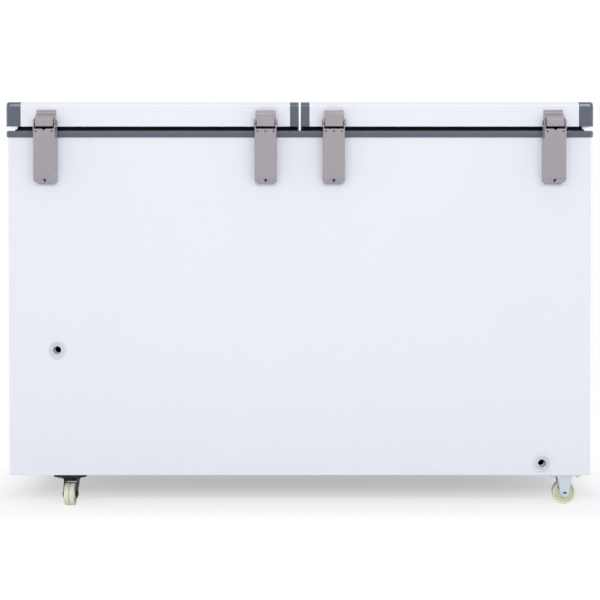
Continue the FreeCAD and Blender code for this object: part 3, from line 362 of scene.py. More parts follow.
def white_enamel():
    """Stove enamel on sheet steel: slight orange peel, dust near the floor, lid tops dulled by wiping."""
    paint = Surface("white_enamel", srgb(233, 236, 245), 0.3)
    tone = paint.mix(paint.noise(1.6, detail=3.0), srgb(232, 235, 244), srgb(235, 238, 247))
    near_floor = paint.fade(paint.axis("Z"), (dust_top, dust_foot))
    patches = paint.fade(paint.noise(13.0, detail=6.0), (0.3, 0.75), (0.05, 0.25))
    dust = paint.times(near_floor, patches)
    paint.feed("Base Color", paint.mix(dust, tone, srgb(219, 222, 228)))
    gloss = paint.fade(paint.noise(3.0, detail=1.0), (0.0, 1.0), (0.28, 0.34))
    wiped = paint.drift(0.52, 0.62, scale=9.0, detail=4.0)
    paint.feed("Roughness", paint.mix(paint.flat_tops(), gloss, wiped))
    paint.feed("Specular IOR Level", paint.fade(paint.flat_tops(), (0.0, 1.0), (0.5, 0.1)))
    paint.bump((paint.noise(360.0, detail=2.0), plain_grain), radius=painted_edge)
    return paint.material


def grey_moulding():
    """Blue grey plastic, glossy on its walls and grained on its flat tops, paler along its edges, partly
    from wear and partly as painted highlight.
    """
    plastic = Surface("grey_moulding", srgb(88, 95, 110), 0.2)
    tone = plastic.mix(plastic.noise(22.0, detail=5.0), srgb(84, 91, 106), srgb(92, 99, 114))
    patches = plastic.fade(plastic.noise(60.0, detail=4.0), (0.35, 0.65), (0.1, 0.4))
    # Paler edges: partly wear, partly a painted highlight along the edges.
    worn_and_highlit = plastic.times(plastic.edges(moulded_wear_and_highlight), patches)
    strokes = plastic.noise(70.0, detail=6.0, stretch=(0.15, 1.0, 1.0))
    scuffs = plastic.fade(strokes, (0.66, 0.74), (0.0, 0.2))
    tone = plastic.mix(worn_and_highlit, tone, srgb(128, 135, 149))
    plastic.feed("Base Color", plastic.mix(scuffs, tone, srgb(112, 118, 131)))
    gloss = plastic.drift(0.12, 0.18, scale=35.0, detail=4.0)
    grain = plastic.drift(0.5, 0.6, scale=35.0, detail=4.0)
    plastic.feed("Roughness", plastic.mix(plastic.flat_tops(), gloss, grain))
    plastic.bump((plastic.noise(1700.0, detail=2.0), fine_grain))
    return plastic.material


def light_moulding():
    """Pale grey plastic with a soft moulded skin, with painted shade inside the drain pipes at the rear.
    """
    plastic = Surface("light_moulding", srgb(222, 224, 230), 0.4)
    tone = plastic.mix(plastic.noise(90.0, detail=4.0), srgb(218, 220, 226), srgb(226, 228, 233))
    tone = plastic.mix(plastic.times(plastic.edges(pale_wear), 0.35), tone, srgb(236, 237, 241))
    along = plastic.axis("Y")
    # Painted shade: dark colour inside the drain pipes, where their deep bores are in shade.
    inside = plastic.fade(along, (drain_shade_y + shade_fade, drain_shade_y))
    painted_bore_shade = plastic.times(inside, plastic.fade(along, (0.0, shade_fade)))
    plastic.feed("Base Color", plastic.mix(painted_bore_shade, tone, srgb(30, 30, 31)))
    plastic.feed("Roughness", plastic.drift(0.36, 0.48, scale=140.0, detail=3.0))
    plastic.bump((plastic.noise(1200.0, detail=2.0), plain_grain))
    return plastic.material


def hinge_grey():
    """Lacquered metal, warm grey, with faint brushing downwards and paler on its bends and edges, partly
    rubbed and partly a painted highlight.
    """
    metal = Surface("hinge_grey", srgb(159, 153, 159), 0.28, 0.2)
    tone = metal.mix(metal.noise(14.0, detail=3.0), srgb(156, 150, 156), srgb(162, 156, 162))
    brushing = metal.noise(160.0, detail=3.0, stretch=(1.0, 1.0, 0.04))
    streaks = metal.fade(brushing, (0.4, 0.8), (0.0, 0.25))
    tone = metal.mix(streaks, tone, srgb(168, 163, 168))
    patches = metal.drift(0.12, 0.3, scale=30.0, detail=2.0)
    # Paler edges and bends: partly rubbed lacquer, partly a painted highlight.
    rubbed_and_highlit = metal.times(metal.edges(lacquered_wear_and_highlight), patches)
    metal.feed("Base Color", metal.mix(rubbed_and_highlit, tone, srgb(196, 192, 196)))
    metal.feed("Roughness", metal.fade(metal.noise(20.0, detail=2.0), (0.0, 1.0), (0.25, 0.33)))
    metal.bump((metal.noise(90.0, detail=2.0), brushed_grain), radius=pressed_edge)
    return metal.material


def zinc_plate():
    """Bright zinc plating with a faint blue and straw drift, darker on the lid hinges' pins."""
    metal = Surface("zinc_plate", srgb(207, 217, 229), 0.32, 1.0)
    tint = metal.drift(0.0, 1.0, scale=30.0, detail=3.0)
    tone = metal.mix(tint, srgb(202, 214, 229), srgb(212, 220, 230))
    stains = metal.fade(metal.noise(210.0, detail=5.0), (0.64, 0.76), (0.0, 0.25))
    tone = metal.mix(stains, tone, srgb(168, 172, 178))
    behind = metal.fade(metal.axis("Y"), (darkened_behind, darkened_behind + darken_fade))
    above = metal.fade(metal.axis("Z"), (darkened_above, darkened_above + darken_fade))
    metal.feed("Base Color", metal.mix(metal.times(behind, above), tone, srgb(126, 122, 126)))
    metal.feed("Roughness", metal.drift(0.24, 0.42, scale=160.0, detail=4.0))
    metal.bump((metal.noise(900.0, detail=3.0), plain_grain))
    return metal.material


def dark_zinc():
    """Zinc painted dark as shade for the swivel castors that sit in shade under the cabinet, with paler
    edges that are partly rubbed metal and partly a painted highlight.
    """
    # Painted shade: this is the bright zinc of the castors made dark where they sit in shade.
    metal = Surface("dark_zinc", srgb(40, 40, 38), 0.48, 0.5)
    tone = metal.mix(metal.noise(80.0, detail=5.0), srgb(32, 32, 31), srgb(48, 47, 45))
    patches = metal.fade(metal.noise(190.0, detail=3.0), (0.35, 0.6), (0.1, 0.6))
    # Paler edges: partly rubbed metal, partly a painted highlight.
    rubbed_and_highlit = metal.times(metal.edges(dark_wear_and_highlight), patches)
    metal.feed("Base Color", metal.mix(rubbed_and_highlit, tone, srgb(150, 152, 154)))
    metal.feed("Roughness", metal.drift(0.4, 0.58, scale=160.0, detail=4.0))
    metal.bump((metal.noise(900.0, detail=3.0), rough_grain))
    return metal.material


def galvanised_sheet():
    """Dipped zinc with its spangle of flat crystals."""
    metal = Surface("galvanised_sheet", srgb(176, 181, 186), 0.45, 1.0)
    crystal = metal.cells(85.0, "Color")
    shade = metal.node("ShaderNodeSeparateColor", {"Color": crystal}).outputs["Red"]
    tone = metal.mix(shade, srgb(158, 163, 168), srgb(192, 197, 201))
    chalk = metal.fade(metal.noise(12.0, detail=6.0), (0.5, 0.75), (0.0, 0.4))
    metal.feed("Base Color", metal.mix(chalk, tone, srgb(205, 207, 208)))
    metal.feed("Roughness", metal.fade(shade, (0.0, 1.0), (0.34, 0.58)))
    metal.bump((shade, fine_grain), (metal.noise(600.0, detail=2.0), fine_grain))
    return metal.material


def embossed_aluminium():
    """Stucco rolled aluminium, the usual lining of a chest freezer."""
    metal = Surface("embossed_aluminium", srgb(214, 216, 218), 0.34, 1.0)
    frost = metal.fade(metal.noise(8.0, detail=5.0), (0.35, 0.7))
    metal.feed("Base Color", metal.mix(frost, srgb(206, 209, 212), srgb(222, 224, 226)))
    metal.feed("Roughness", metal.drift(0.28, 0.42, scale=40.0, detail=4.0))
    pebbles = metal.fade(metal.cells(95.0, feature="SMOOTH_F1"), (0.05, 0.6), (1.0, 0.0))
    metal.bump((pebbles, embossed_grain), (metal.noise(500.0, detail=2.0), fine_grain))
    return metal.material


def insulation_foam():
    """Poured foam, straw coloured and full of fine cells."""
    foam = Surface("insulation_foam", srgb(226, 212, 168), 0.85)
    tone = foam.mix(foam.noise(25.0, detail=4.0), srgb(218, 201, 150), srgb(232, 220, 180))
    foam.feed("Base Color", tone)
    foam.bump((foam.cells(900.0), foam_grain))
    return foam.material


def seal_black():
    """Soft black sealing rubber with a dry bloom on it."""
    rubber = Surface("seal_black", srgb(16, 16, 18), 0.6)
    bloom = rubber.fade(rubber.noise(90.0, detail=6.0), (0.45, 0.75), (0.0, 0.5))
    rubber.feed("Base Color", rubber.mix(bloom, srgb(13, 13, 15), srgb(34, 34, 36)))
    rubber.feed("Roughness", rubber.fade(bloom, (0.0, 0.5), (0.5, 0.75)))
    rubber.bump((rubber.noise(800.0, detail=2.0), rough_grain))
    return rubber.material


def liner_white():
    """Drawn white plastic sheet with shallow waves from its stretching."""
    plastic = Surface("liner_white", srgb(234, 236, 240), 0.26)
    tone = plastic.mix(plastic.noise(5.0, detail=3.0), srgb(230, 232, 236), srgb(238, 240, 243))
    plastic.feed("Base Color", tone)
    plastic.feed("Roughness", plastic.drift(0.2, 0.34, scale=16.0, detail=4.0))
    waves = (plastic.noise(7.0, detail=1.0), liner_waves)
    plastic.bump(waves, (plastic.noise(420.0, detail=2.0), fine_grain), radius=drawn_edge)
    return plastic.material


def nylon_cream():
    """Cream nylon, greener in the thin web, with floor dirt in the tread and painted shade with dirt
    along its groove. The wheel turns about its Y.
    """
    nylon = Surface("nylon_cream", srgb(240, 239, 222), 0.4)
    place = nylon.stretched((1.0, 0.0, 1.0))
    out = nylon.node("ShaderNodeVectorMath", {0: place}, operation="LENGTH").outputs["Value"]
    tone = nylon.mix(nylon.noise(70.0, detail=4.0), srgb(236, 235, 216), srgb(243, 242, 228))
    grime = nylon.fade(nylon.noise(240.0, detail=6.0), (0.4, 0.75), (0.0, 0.4))
    tread = nylon.times(nylon.fade(out, tread_grime_out), grime)
    tone = nylon.mix(tread, tone, srgb(206, 205, 172))
    off_middle = nylon.node("ShaderNodeMath", {0: nylon.axis("Y")}, operation="ABSOLUTE").outputs["Value"]
    # Painted shade in and beside the tread groove, mixed with floor dirt.
    groove = nylon.fade(off_middle, (groove_shade_half, tread_groove_half), (0.0, 0.6))
    near_tread = nylon.fade(out, groove_shade_out)
    tone = nylon.mix(nylon.times(groove, near_tread), tone, srgb(176, 174, 136))
    web = nylon.times(nylon.fade(out, rim_tint_out), nylon.fade(out, hub_tint_out))
    nylon.feed("Base Color", nylon.mix(nylon.times(web, 0.6), tone, srgb(208, 213, 174)))
    nylon.feed("Roughness", nylon.drift(0.34, 0.5, scale=180.0, detail=4.0))
    nylon.feed("Subsurface Weight", 0.12)
    nylon.feed("Subsurface Radius", nylon_glow)
    nylon.bump((nylon.noise(500.0, detail=4.0), nylon_grain), radius=nylon_edge)
    return nylon.material


def compressor_black():
    """Thick black shell paint with patches of dust."""
    paint = Surface("compressor_black", srgb(24, 24, 26), 0.32)
    dust = paint.fade(paint.noise(30.0, detail=6.0), (0.5, 0.8), (0.0, 0.35))
    paint.feed("Base Color", paint.mix(dust, srgb(20, 20, 22), srgb(88, 86, 82)))
    paint.feed("Roughness", paint.drift(0.26, 0.46, scale=70.0, detail=4.0))
    paint.bump((paint.noise(260.0, detail=2.0), thick_grain))
    return paint.material


def mount_rubber():
    """Hard mounting rubber, dull and slightly dusty."""
    rubber = Surface("mount_rubber", srgb(34, 34, 35), 0.75)
    tone = rubber.mix(rubber.noise(120.0, detail=5.0), srgb(28, 28, 29), srgb(46, 45, 44))
    rubber.feed("Base Color", tone)
    rubber.bump((rubber.noise(900.0, detail=3.0), thick_grain))
    return rubber.material


def copper_tube():
    """Drawn copper, darkened in patches."""
    metal = Surface("copper_tube", srgb(206, 138, 104), 0.32, 1.0)
    tarnish = metal.fade(metal.noise(40.0, detail=5.0), (0.45, 0.7), (0.0, 0.7))
    metal.feed("Base Color", metal.mix(tarnish, srgb(212, 146, 112), srgb(132, 82, 60)))
    metal.feed("Roughness", metal.fade(tarnish, (0.0, 0.7), (0.26, 0.46)))
    metal.bump((metal.noise(700.0, detail=2.0), fine_grain))
    return metal.material


def lamp_lens():
    """Clear coloured lenses, green, amber and red from one end of the row to the other."""
    first, *others = [srgb(*colour) for colour in lamp_colours]
    lens = Surface("lamp_lens", first, 0.18)
    low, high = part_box("indicator_lamps")
    step = (high.x - low.x) / len(lamp_colours)
    tone = first
    for index, colour in enumerate(others, start=1):
        edge = low.x + index * step
        tone = lens.mix(lens.fade(lens.axis("X"), (edge, edge + lamp_colour_change)), tone, colour)
    depth = lens.fade(lens.cells(1400.0), (0.0, 0.6), (0.0, 0.25))
    lens.feed("Base Color", lens.mix(depth, tone, srgb(235, 235, 230)))
    lens.feed("Coat Weight", 0.6)
    lens.bump((lens.cells(1400.0), plain_grain))
    return lens.material


def spring_steel():
    """Oiled spring wire with fine drawing marks."""
    metal = Surface("spring_steel", srgb(150, 150, 154), 0.36, 1.0)
    film = metal.fade(metal.noise(300.0, detail=4.0), (0.4, 0.7), (0.0, 0.6))
    metal.feed("Base Color", metal.mix(film, srgb(156, 156, 160), srgb(112, 104, 92)))
    metal.feed("Roughness", metal.fade(film, (0.0, 0.6), (0.3, 0.46)))
    metal.bump((metal.noise(1500.0, detail=2.0), drawn_grain))
    return metal.material


def coated_wire():
    """White plastic dipped over steel wire, thicker in places."""
    coat = Surface("coated_wire", srgb(234, 235, 238), 0.32)
    tone = coat.mix(coat.noise(40.0, detail=4.0), srgb(228, 229, 232), srgb(240, 241, 243))
    coat.feed("Base Color", tone)
    coat.feed("Roughness", coat.drift(0.26, 0.4, scale=90.0, detail=3.0))
    coat.bump((coat.noise(260.0, detail=2.0), dipped_grain))
    return coat.material


makers = [
    white_enamel, grey_moulding, light_moulding, hinge_grey, zinc_plate, dark_zinc,
    galvanised_sheet, embossed_aluminium, insulation_foam, seal_black, liner_white, nylon_cream,
    compressor_black, mount_rubber, copper_tube, lamp_lens, spring_steel, coated_wire,
]
materials = {maker.__name__: maker() for maker in makers}


def dress_nodes():
    """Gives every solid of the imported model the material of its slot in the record."""
    for row in frame["record"]["subparts"]:
        mesh = nodes[row["node"]].data
        mesh.materials.clear()
        mesh.materials.append(materials[row["material_slot"]])


def mesh_of(name, points, faces, crease=crease_angle):
    """A mesh that faces outwards and is smooth apart from creases sharper than the given angle."""
    mesh = bpy.data.meshes.new(name)
    mesh.from_pydata(points, [], faces)
    shape = bmesh.new()
    shape.from_mesh(mesh)
    bmesh.ops.recalc_face_normals(shape, faces=shape.faces)
    shape.to_mesh(mesh)
    shape.free()
    mesh.shade_smooth()
    mesh.set_sharp_from_angle(angle=crease)
    return mesh


def add_piece(name, mesh, slot, body, replaced=(), place=(0.0, 0.0, 0.0), turn=0.0):
    """Puts a mesh in the scene with its material, riding on a body and standing for CAD nodes."""
    mesh.materials.append(materials[slot])
    piece = bpy.data.objects.new(name, mesh)
    bpy.context.scene.collection.objects.link(piece)
    piece.location = place
    piece.rotation_euler = (0.0, 0.0, turn)
    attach(piece, body)
    if replaced:
        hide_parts(*replaced)


def skin(loops, ring_closed):
    """Points and faces between neighbouring loops, and from the last to the first if closed."""
    count = len(loops[0])
    points = [point for loop in loops for point in loop]
    faces = []
    for step in range(len(loops) if ring_closed else len(loops) - 1):
        here = step * count
        there = (step + 1) % len(loops) * count
        for index in range(count):
            after = (index + 1) % count
            faces.append((here + index, here + after, there + after, there + index))
    return points, faces


def loft(loops):
    """Points and faces over a row of loops, closed at both ends."""
    points, faces = skin(loops, False)
    count = len(loops[0])
    faces.append(tuple(range(count)))
    faces.append(tuple(range(len(points) - count, len(points))))
    return points, faces


def circle(along, radius, segments=round_segments):
    """A loop round the Y axis."""
    angles = [2 * math.pi * index / segments for index in range(segments)]
    return [(radius * math.cos(angle), along, radius * math.sin(angle)) for angle in angles]


def oblong(along, half_length, half_width):
    """A loop round the Y axis with two straight sides along X."""
    straight = half_length - half_width
    return [
        (x + math.copysign(straight, x), y, z) for x, y, z in circle(along, half_width)
    ]


def gather(parts):
    """Joins several (points, faces) lists into one."""
    points = []
    faces = []
    for part_points, part_faces in parts:
        start = len(points)
        points.extend(part_points)
        faces.extend(tuple(start + corner for corner in face) for face in part_faces)
    return points, faces


def moved(part, place, turn=None):
    """A (points, faces) part, put through a turn if there is one, and then shifted to place."""
    points, faces = part
    if turn:
        points = [turn(point) for point in points]
    return [tuple(Vector(point) + Vector(place)) for point in points], faces


def reversed_y(point):
    """Turns the Y axis round, about X."""
    x, y, z = point
    return (x, -y, -z)


def downwards(point):
    """Turns the Y axis to point down."""
    x, y, z = point
    return (x, z, -y)


def rounded_path(points, radius):
    """A polyline with its corners replaced by short arcs."""
    path = [Vector(points[0])]
    for before, corner, after in zip(points, points[1:], points[2:]):
        corner = Vector(corner)
        back = Vector(before) - corner
        ahead = Vector(after) - corner
        reach = min(radius, bend_share * back.length, bend_share * ahead.length)
        start = corner + back.normalized() * reach
        end = corner + ahead.normalized() * reach
        for step in range(bend_steps + 1):
            share = step / bend_steps
            path.append(start.lerp(corner, share).lerp(corner.lerp(end, share), share))
    path.append(Vector(points[-1]))
    return path


def wire_mesh(name, paths):
    """Round wires along (points, radius, closed) paths, as one mesh."""
    meshes = []
    for points, radius, closed in paths:
        curve = bpy.data.curves.new(name, "CURVE")
        curve.dimensions = "3D"
        curve.bevel_depth = radius
        curve.bevel_resolution = wire_bevel_steps
        curve.use_fill_caps = True
        spline = curve.splines.new("POLY")
        spline.points.add(len(points) - 1)
        for target, point in zip(spline.points, points):
            target.co = (*point, 1.0)
        spline.use_cyclic_u = closed
        wire = bpy.data.objects.new(name, curve)
        mesh = bpy.data.meshes.new_from_object(wire)
        points_and_faces = (
            [tuple(vertex.co) for vertex in mesh.vertices],
            [tuple(face.vertices) for face in mesh.polygons],
        )
        meshes.append(points_and_faces)
        bpy.data.objects.remove(wire)
        bpy.data.curves.remove(curve)
        bpy.data.meshes.remove(mesh)
    return mesh_of(name, *gather(meshes), crease=wire_crease)


def spread(start, end, pitch):
    """Even places from start to end, about pitch apart, both ends included."""
    count = max(1, round((end - start) / pitch))
    return [start + (end - start) * index / count for index in range(count + 1)]


def wire_basket(side):
    """Welded basket: hooked cross wires, long wires over them, hoops inside and a thicker rim."""
    low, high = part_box("basket_" + side)
    layer = 2 * wire_radius * wire_sink
    x0, x1 = low.x + wire_radius, high.x - wire_radius
    lip = high.y - wire_radius
    wall = lip - basket_lip_reach
    floor = low.z + wire_radius
    top = high.z - wire_radius
    paths = []
    for x in spread(x0 + cross_wire_pitch / 2, x1 - cross_wire_pitch / 2, cross_wire_pitch):
        wire = [
            (x, -lip, top), (x, -wall, top), (x, -wall, floor),
            (x, wall, floor), (x, wall, top), (x, lip, top),
        ]
        paths.append((rounded_path(wire, lip_bend), wire_radius, False))
    for y in spread(-wall + long_wire_pitch / 2, wall - long_wire_pitch / 2, long_wire_pitch):
        deck = floor + layer
        wire = [(x0, y, top - layer), (x0, y, deck), (x1, y, deck), (x1, y, top - layer)]
        paths.append((rounded_path(wire, basket_bend), wire_radius, False))
    hoop_x0, hoop_x1, hoop_y = x0 + layer, x1 - layer, wall - layer
    heights = spread(floor + long_wire_pitch, top - layer, long_wire_pitch)
    for z in heights:
        radius = rim_wire_radius if z == heights[-1] else wire_radius
        middle = (hoop_x0 + hoop_x1) / 2
        hoop = [
            (middle, -hoop_y, z), (hoop_x1, -hoop_y, z), (hoop_x1, hoop_y, z), (hoop_x0, hoop_y, z),
            (hoop_x0, -hoop_y, z), (middle - hoop_joint, -hoop_y, z),
        ]
        paths.append((rounded_path(hoop, basket_bend), radius, True))
    for y in (-lip, lip):
        paths.append(([(x0, y, top), (x1, y, top)], wire_radius, False))
    mesh = wire_mesh("wire_basket_" + side, paths)
    add_piece("wire_basket_" + side, mesh, "coated_wire", "hanging_basket_" + side, ["basket_" + side])


def lid_seal(side):
    """Bellows seal round the underside of a lid, welded at its mitred corners."""
    low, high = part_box("lid_gasket_" + side)
    outline = seal_half + [(-across, up) for across, up in reversed(seal_half)]
    loops = []
    for across, up in outline:
        inset = seal_half_width + across
        z = low.z + up
        x0, x1 = low.x + inset, high.x - inset
        y0, y1 = low.y + inset, high.y - inset
        loops.append([(x0, y0, z), (x1, y0, z), (x1, y1, z), (x0, y1, z)])
    mesh = mesh_of("lid_seal_" + side, *skin(loops, True))
    add_piece("lid_seal_" + side, mesh, "seal_black", "lid_" + side, ["lid_gasket_" + side])


def cap_profile(foot, top):
    """Section of an end moulding's wall as (inset, height), from its foot to its flat top."""
    tilt = math.atan2(cap_facet_run, cap_facet_height)
    radius = cap_roll_height / (1 - math.sin(tilt))
    roll_foot = top - cap_roll_height
    rows = [(cap_foot_edge, foot), (0.0, foot + cap_foot_edge), (0.0, roll_foot - cap_facet_height)]
    for step in range(cap_steps + 1):
        angle = tilt + (math.pi / 2 - tilt) * step / cap_steps
        inset = cap_facet_run + radius * (math.cos(tilt) - math.cos(angle))
        rows.append((inset, roll_foot + radius * (math.sin(angle) - math.sin(tilt))))
    return rows


def cap_loop(low, high, inset, z):
    """Loop round an end moulding at one height, with round corners at its outer end."""
    sign = math.copysign(1.0, low.x)
    inner, outer = sorted((abs(low.x), abs(high.x)))
    corner = cap_edge - inset
    loop = [(inner, low.y + inset)]
    for middle, start in ((low.y + cap_edge, -math.pi / 2), (high.y - cap_edge, 0.0)):
        for step in range(cap_steps + 1):
            angle = start + math.pi / 2 * step / cap_steps
            loop.append((outer - cap_edge + corner * math.cos(angle), middle + corner * math.sin(angle)))
    loop.append((inner, high.y - inset))
    return [(sign * across, along, z) for across, along in loop]


def lid_end(side):
    """Outer end moulding of a lid, with the slanted facet under its rolled top."""
    node = "lid_outer_cap_" + side
    low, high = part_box(node)
    loops = [cap_loop(low, high, inset, z) for inset, z in cap_profile(low.z, high.z)]
    mesh = mesh_of("lid_end_" + side, *loft(loops), crease=cap_crease)
    add_piece("lid_end_" + side, mesh, "grey_moulding", "lid_" + side, [node])


def wheel_outline(radius, half):
    """Closed outline of a wheel's section as (along the axle, out from it)."""
    rim = radius - wheel_rim
    groove = radius - tread_groove_depth
    corners = [
        (0.0, groove), (tread_groove_half, groove), (tread_groove_half, radius),
        (half, radius), (half, rim),
        (wheel_web_half, rim - wheel_draft), (wheel_web_half, wheel_hub_radius + wheel_draft),
        (half, wheel_hub_radius), (half, wheel_bore_radius), (0.0, wheel_bore_radius),
    ]
    path = rounded_path([(along, out, 0.0) for along, out in corners], wheel_edge)
    one_side = [(point.x, point.y) for point in path]
    other_side = [(-along, out) for along, out in reversed(one_side) if along > 0]
    return one_side + other_side


def castor_tyre(kind, end):
    """Turned nylon wheel with a rim, a web, a hub and a groove round its tread."""
    node = f"{kind}_wheel_{end}"
    low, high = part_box(node)
    size = high - low
    outline = wheel_outline(size.z / 2, min(size.x, size.y) / 2)
    loops = [circle(along, out, wheel_segments) for along, out in outline]
    name = f"{kind}_tyre_{end}"
    mesh = mesh_of(name, *skin(loops, True))
    turn = math.pi / 2 if kind == "swivel" else 0.0
    add_piece(name, mesh, "nylon_cream", f"{kind}_roller_{end}", [node], (low + high) / 2, turn)


def hex_head(radius, height):
    """Flanged hexagon head along Y."""
    hexagon = radius * bolt_hex_share
    flange = loft([circle(0.0, radius), circle(bolt_flange_height, radius - bolt_chamfer)])
    head = loft([
        circle(0.0, hexagon, nut_segments), circle(height - bolt_chamfer, hexagon, nut_segments),
        circle(height, hexagon - bolt_chamfer, nut_segments),
    ])
    return gather([flange, head])


def slotted_head(radius, height):
    """Round head along Y with a wide slot across it."""
    return loft([
        circle(0.0, radius), circle(height - bolt_chamfer, radius), circle(height, radius - bolt_chamfer),
        oblong(height, axle_slot_half_length, axle_slot_half_width),
        oblong(height - axle_slot_depth, axle_slot_half_length, axle_slot_half_width),
    ])


def castor_axle(kind, end):
    """Points and faces of an axle along Y about the origin: slotted head, shaft and nut."""
    low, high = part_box(f"{kind}_wheel_{end}")
    half = min(high.x - low.x, high.y - low.y) / 2 + axle_beyond_wheel
    shaft = loft([circle(-half, axle_radius), circle(half, axle_radius)])
    head = moved(slotted_head(axle_head_radius, axle_head_height), (0.0, half, 0.0))
    nut = moved(hex_head(axle_head_radius, axle_head_height), (0.0, -half, 0.0), reversed_y)
    return gather([shaft, head, nut])


def plate_bolts(kind, end):
    """Points and faces of the four bolts that hold one castor's plate to the cabinet."""
    low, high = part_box({"rigid": "rigid_bracket_", "swivel": "swivel_plate_"}[kind] + end)
    middle = (low + high) / 2
    across, along = bolt_pitch[kind]
    shank = loft([circle(-bolt_shank_length, bolt_shank_radius), circle(0.0, bolt_shank_radius)])
    bolt = gather([shank, hex_head(bolt_head_radius, bolt_head_height)])
    places = [
        (middle.x + sign_x * across, middle.y + sign_y * along, high.z - plate_depth)
        for sign_x in (-1, 1) for sign_y in (-1, 1)
    ]
    return [moved(bolt, place, downwards) for place in places]


def slot_shade_sheet(end):
    """Points and faces of a dark sheet at the bottom of the slot in one rigid castor's axle, put there as
    painted shade.
    """
    low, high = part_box("rigid_wheel_" + end)
    floor = (high.y - low.y) / 2 + axle_beyond_wheel + axle_head_height - axle_slot_depth
    half_length = axle_slot_half_length + bolt_chamfer
    half_width = axle_slot_half_width + bolt_chamfer
    loops = [oblong(y, half_length, half_width) for y in (floor, floor + axle_slot_shade_height)]
    return moved(loft(loops), (low + high) / 2)


def castor_hardware():
    """All plate bolts and the rigid castors' axles in one piece, and an axle on each swivel fork."""
    parts = []
    for end in ends:
        parts += plate_bolts("rigid", end) + plate_bolts("swivel", end)
        low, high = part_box("rigid_wheel_" + end)
        parts.append(moved(castor_axle("rigid", end), (low + high) / 2))
        low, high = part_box("swivel_wheel_" + end)
        middle = (low + high) / 2
        # The swivel axle is dark zinc, which is painted shade like the rest of the swivel castor.
        axle = mesh_of("fork_axle_" + end, *castor_axle("swivel", end))
        node = "swivel_axle_" + end
        add_piece("fork_axle_" + end, axle, "dark_zinc", "swivel_" + end, [node], middle, math.pi / 2)
    mesh = mesh_of("castor_bolts", *gather(parts))
    add_piece("castor_bolts", mesh, "zinc_plate", "cabinet", ["castor_fasteners"])
    # Painted shade: a dark sheet at the bottom of each rigid axle's slot, where the slot is in shade.
    slot_shade_mesh = mesh_of("axle_slot_shade", *gather([slot_shade_sheet(end) for end in ends]))
    add_piece("axle_slot_shade", slot_shade_mesh, "dark_zinc", "cabinet")


def radial_bar(angle, start, end, half_width):
    """A thin raised bar on a dial that faces the front, angle clockwise from the top."""
    outline = [(-half_width, start), (half_width, start), (half_width, end), (-half_width, end)]
    loops = []
    for y in (0.0, -mark_height):
        loops.append([
            (
                across * math.cos(angle) + out * math.sin(angle), y,
                out * math.cos(angle) - across * math.sin(angle),
            )
            for across, out in outline
        ])
    return loft(loops)


def thermostat_dial(side):
    """Marks that grow round a knob, and the pointer on the knob itself."""
    low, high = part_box("thermostat_knob_" + side)
    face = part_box("control_panel")[0].y
    x, z = (low.x + high.x) / 2, (low.z + high.z) / 2
    marks = []
    for index in range(dial_marks):
        angle = dial_sweep * index / (dial_marks - 1)
        outer = dial_inner_radius + dial_mark_length + index * dial_mark_step
        marks.append(radial_bar(angle, dial_inner_radius, outer, dial_mark_half_width))
    mesh = mesh_of("dial_marks_" + side, *gather(marks))
    add_piece("dial_marks_" + side, mesh, "liner_white", "cabinet", place=(x, face, z))
    bar = radial_bar(0.0, pointer_start, pointer_end, pointer_half_width)
    pointer = mesh_of("knob_pointer_" + side, *bar)
    add_piece("knob_pointer_" + side, pointer, "grey_moulding", "knob_" + side, place=(x, low.y, z))


def larger(tree, first, second):
    """The larger of two values."""
    return add_node(tree, "ShaderNodeMath", {0: first, 1: second}, operation="MAXIMUM").outputs[0]


def shown_rays(tree):
    """1 for rays from the camera, a reflection or a clear material, else 0."""
    path = add_node(tree, "ShaderNodeLightPath").outputs
    seen = larger(tree, path["Is Camera Ray"], path["Is Glossy Ray"])
    return larger(tree, seen, path["Is Transmission Ray"])


def studio_world():
    """White all round where it is seen, and a plain soft light elsewhere."""
    world = bpy.data.worlds.new("studio")
    world.use_nodes = True
    tree = world.node_tree
    tree.nodes.clear()
    inputs = {"Value": shown_rays(tree), "To Min": ambient, "To Max": 1.0}
    strength = add_node(tree, "ShaderNodeMapRange", inputs).outputs["Result"]
    sky = add_node(tree, "ShaderNodeBackground", {"Color": pure_white, "Strength": strength})
    add_node(tree, "ShaderNodeOutputWorld", {"Surface": sky.outputs[0]})
    bpy.context.scene.world = world


def rise(tree, value, reach, high):
    """The floor's white share along one direction, from its share under the object to a higher one."""
    inputs = {
        "Value": value, "From Min": reach[0], "From Max": reach[1],
        "To Min": floor_share_under, "To Max": high,
    }
    return add_node(tree, "ShaderNodeMapRange", inputs, interpolation_type="SMOOTHSTEP").outputs["Result"]


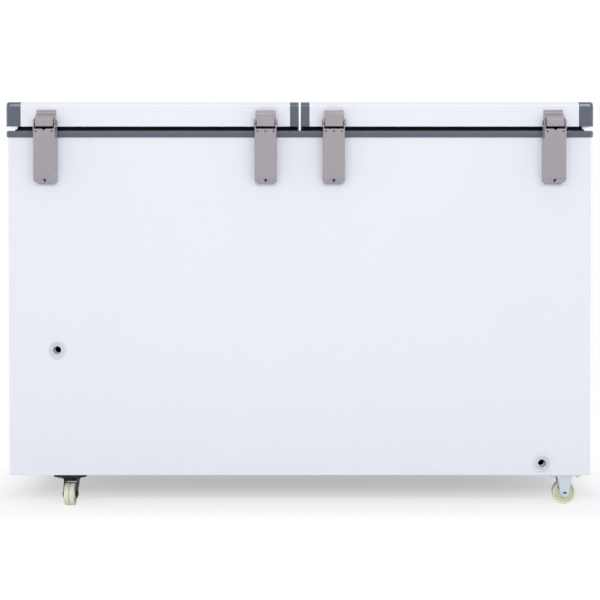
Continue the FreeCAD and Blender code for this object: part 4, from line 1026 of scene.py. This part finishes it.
def floor_material():
    """Pale floor that keeps the shadow under the object and goes white further off."""
    material = bpy.data.materials.new("studio_floor")
    material.use_nodes = True
    tree = material.node_tree
    tree.nodes.clear()
    place = add_node(tree, "ShaderNodeNewGeometry").outputs["Position"]
    apart = add_node(tree, "ShaderNodeVectorMath", {0: place}, operation="ABSOLUTE").outputs["Vector"]
    reach = add_node(tree, "ShaderNodeSeparateXYZ", {"Vector": apart}).outputs
    near = rise(tree, reach["Y"], floor_rise_y, floor_share_near)
    far = rise(tree, reach["Y"], floor_rise_far, floor_share_far)
    beside = rise(tree, reach["X"], floor_rise_x, floor_share_far)
    inputs = {0: larger(tree, larger(tree, near, far), beside), 1: shown_rays(tree)}
    share = add_node(tree, "ShaderNodeMath", inputs, operation="MULTIPLY").outputs[0]
    matte = add_node(tree, "ShaderNodeBsdfDiffuse", {"Color": (floor_tone, floor_tone, floor_tone, 1.0)})
    white = add_node(tree, "ShaderNodeEmission", {"Color": pure_white, "Strength": 1.0})
    both = add_node(tree, "ShaderNodeMixShader", {0: share, 1: matte.outputs[0], 2: white.outputs[0]})
    add_node(tree, "ShaderNodeOutputMaterial", {"Surface": both.outputs[0]})
    return material


def studio_floor():
    """One large square under the object."""
    half = floor_size / 2
    corners = [(-half, -half, 0), (half, -half, 0), (half, half, 0), (-half, half, 0)]
    mesh = bpy.data.meshes.new("studio_floor")
    mesh.from_pydata(corners, [], [(0, 1, 2, 3)])
    mesh.materials.append(floor_material())
    floor = bpy.data.objects.new("studio_floor", mesh)
    bpy.context.scene.collection.objects.link(floor)


def area_lamp(name, place, target, size, power):
    """A rectangular lamp aimed at a target."""
    data = bpy.data.lights.new(name, "AREA")
    data.shape = "RECTANGLE"
    data.size, data.size_y = size
    data.energy = power
    lamp = bpy.data.objects.new(name, data)
    bpy.context.scene.collection.objects.link(lamp)
    lamp.location = place
    aim = Vector(target) - Vector(place)
    lamp.rotation_euler = aim.to_track_quat("-Z", "Y").to_euler()


def studio_lamps():
    """All lamps of the studio."""
    for name, (place, target, size, power) in lamps.items():
        area_lamp(name, place, target, size, power)


def studio_camera():
    """The photograph's camera, behind the freezer."""
    data = bpy.data.cameras.new("photo_camera")
    data.sensor_width = sensor_width
    data.lens = sensor_width * focal_pixels / image_size
    data.shift_x = camera_shift_x
    data.shift_y = camera_shift_y
    camera = bpy.data.objects.new("photo_camera", data)
    bpy.context.scene.collection.objects.link(camera)
    camera.location = camera_place
    camera.rotation_euler = (math.pi / 2 - camera_tilt, 0.0, math.pi)
    bpy.context.scene.camera = camera


dress_nodes()
for side in sides:
    wire_basket(side)
    lid_seal(side)
    lid_end(side)
for kind in ("rigid", "swivel"):
    for end in ends:
        castor_tyre(kind, end)
castor_hardware()
for side in sides:
    thermostat_dial(side)
studio_world()
studio_floor()
studio_lamps()
studio_camera()
bpy.context.scene.view_settings.view_transform = "Standard"
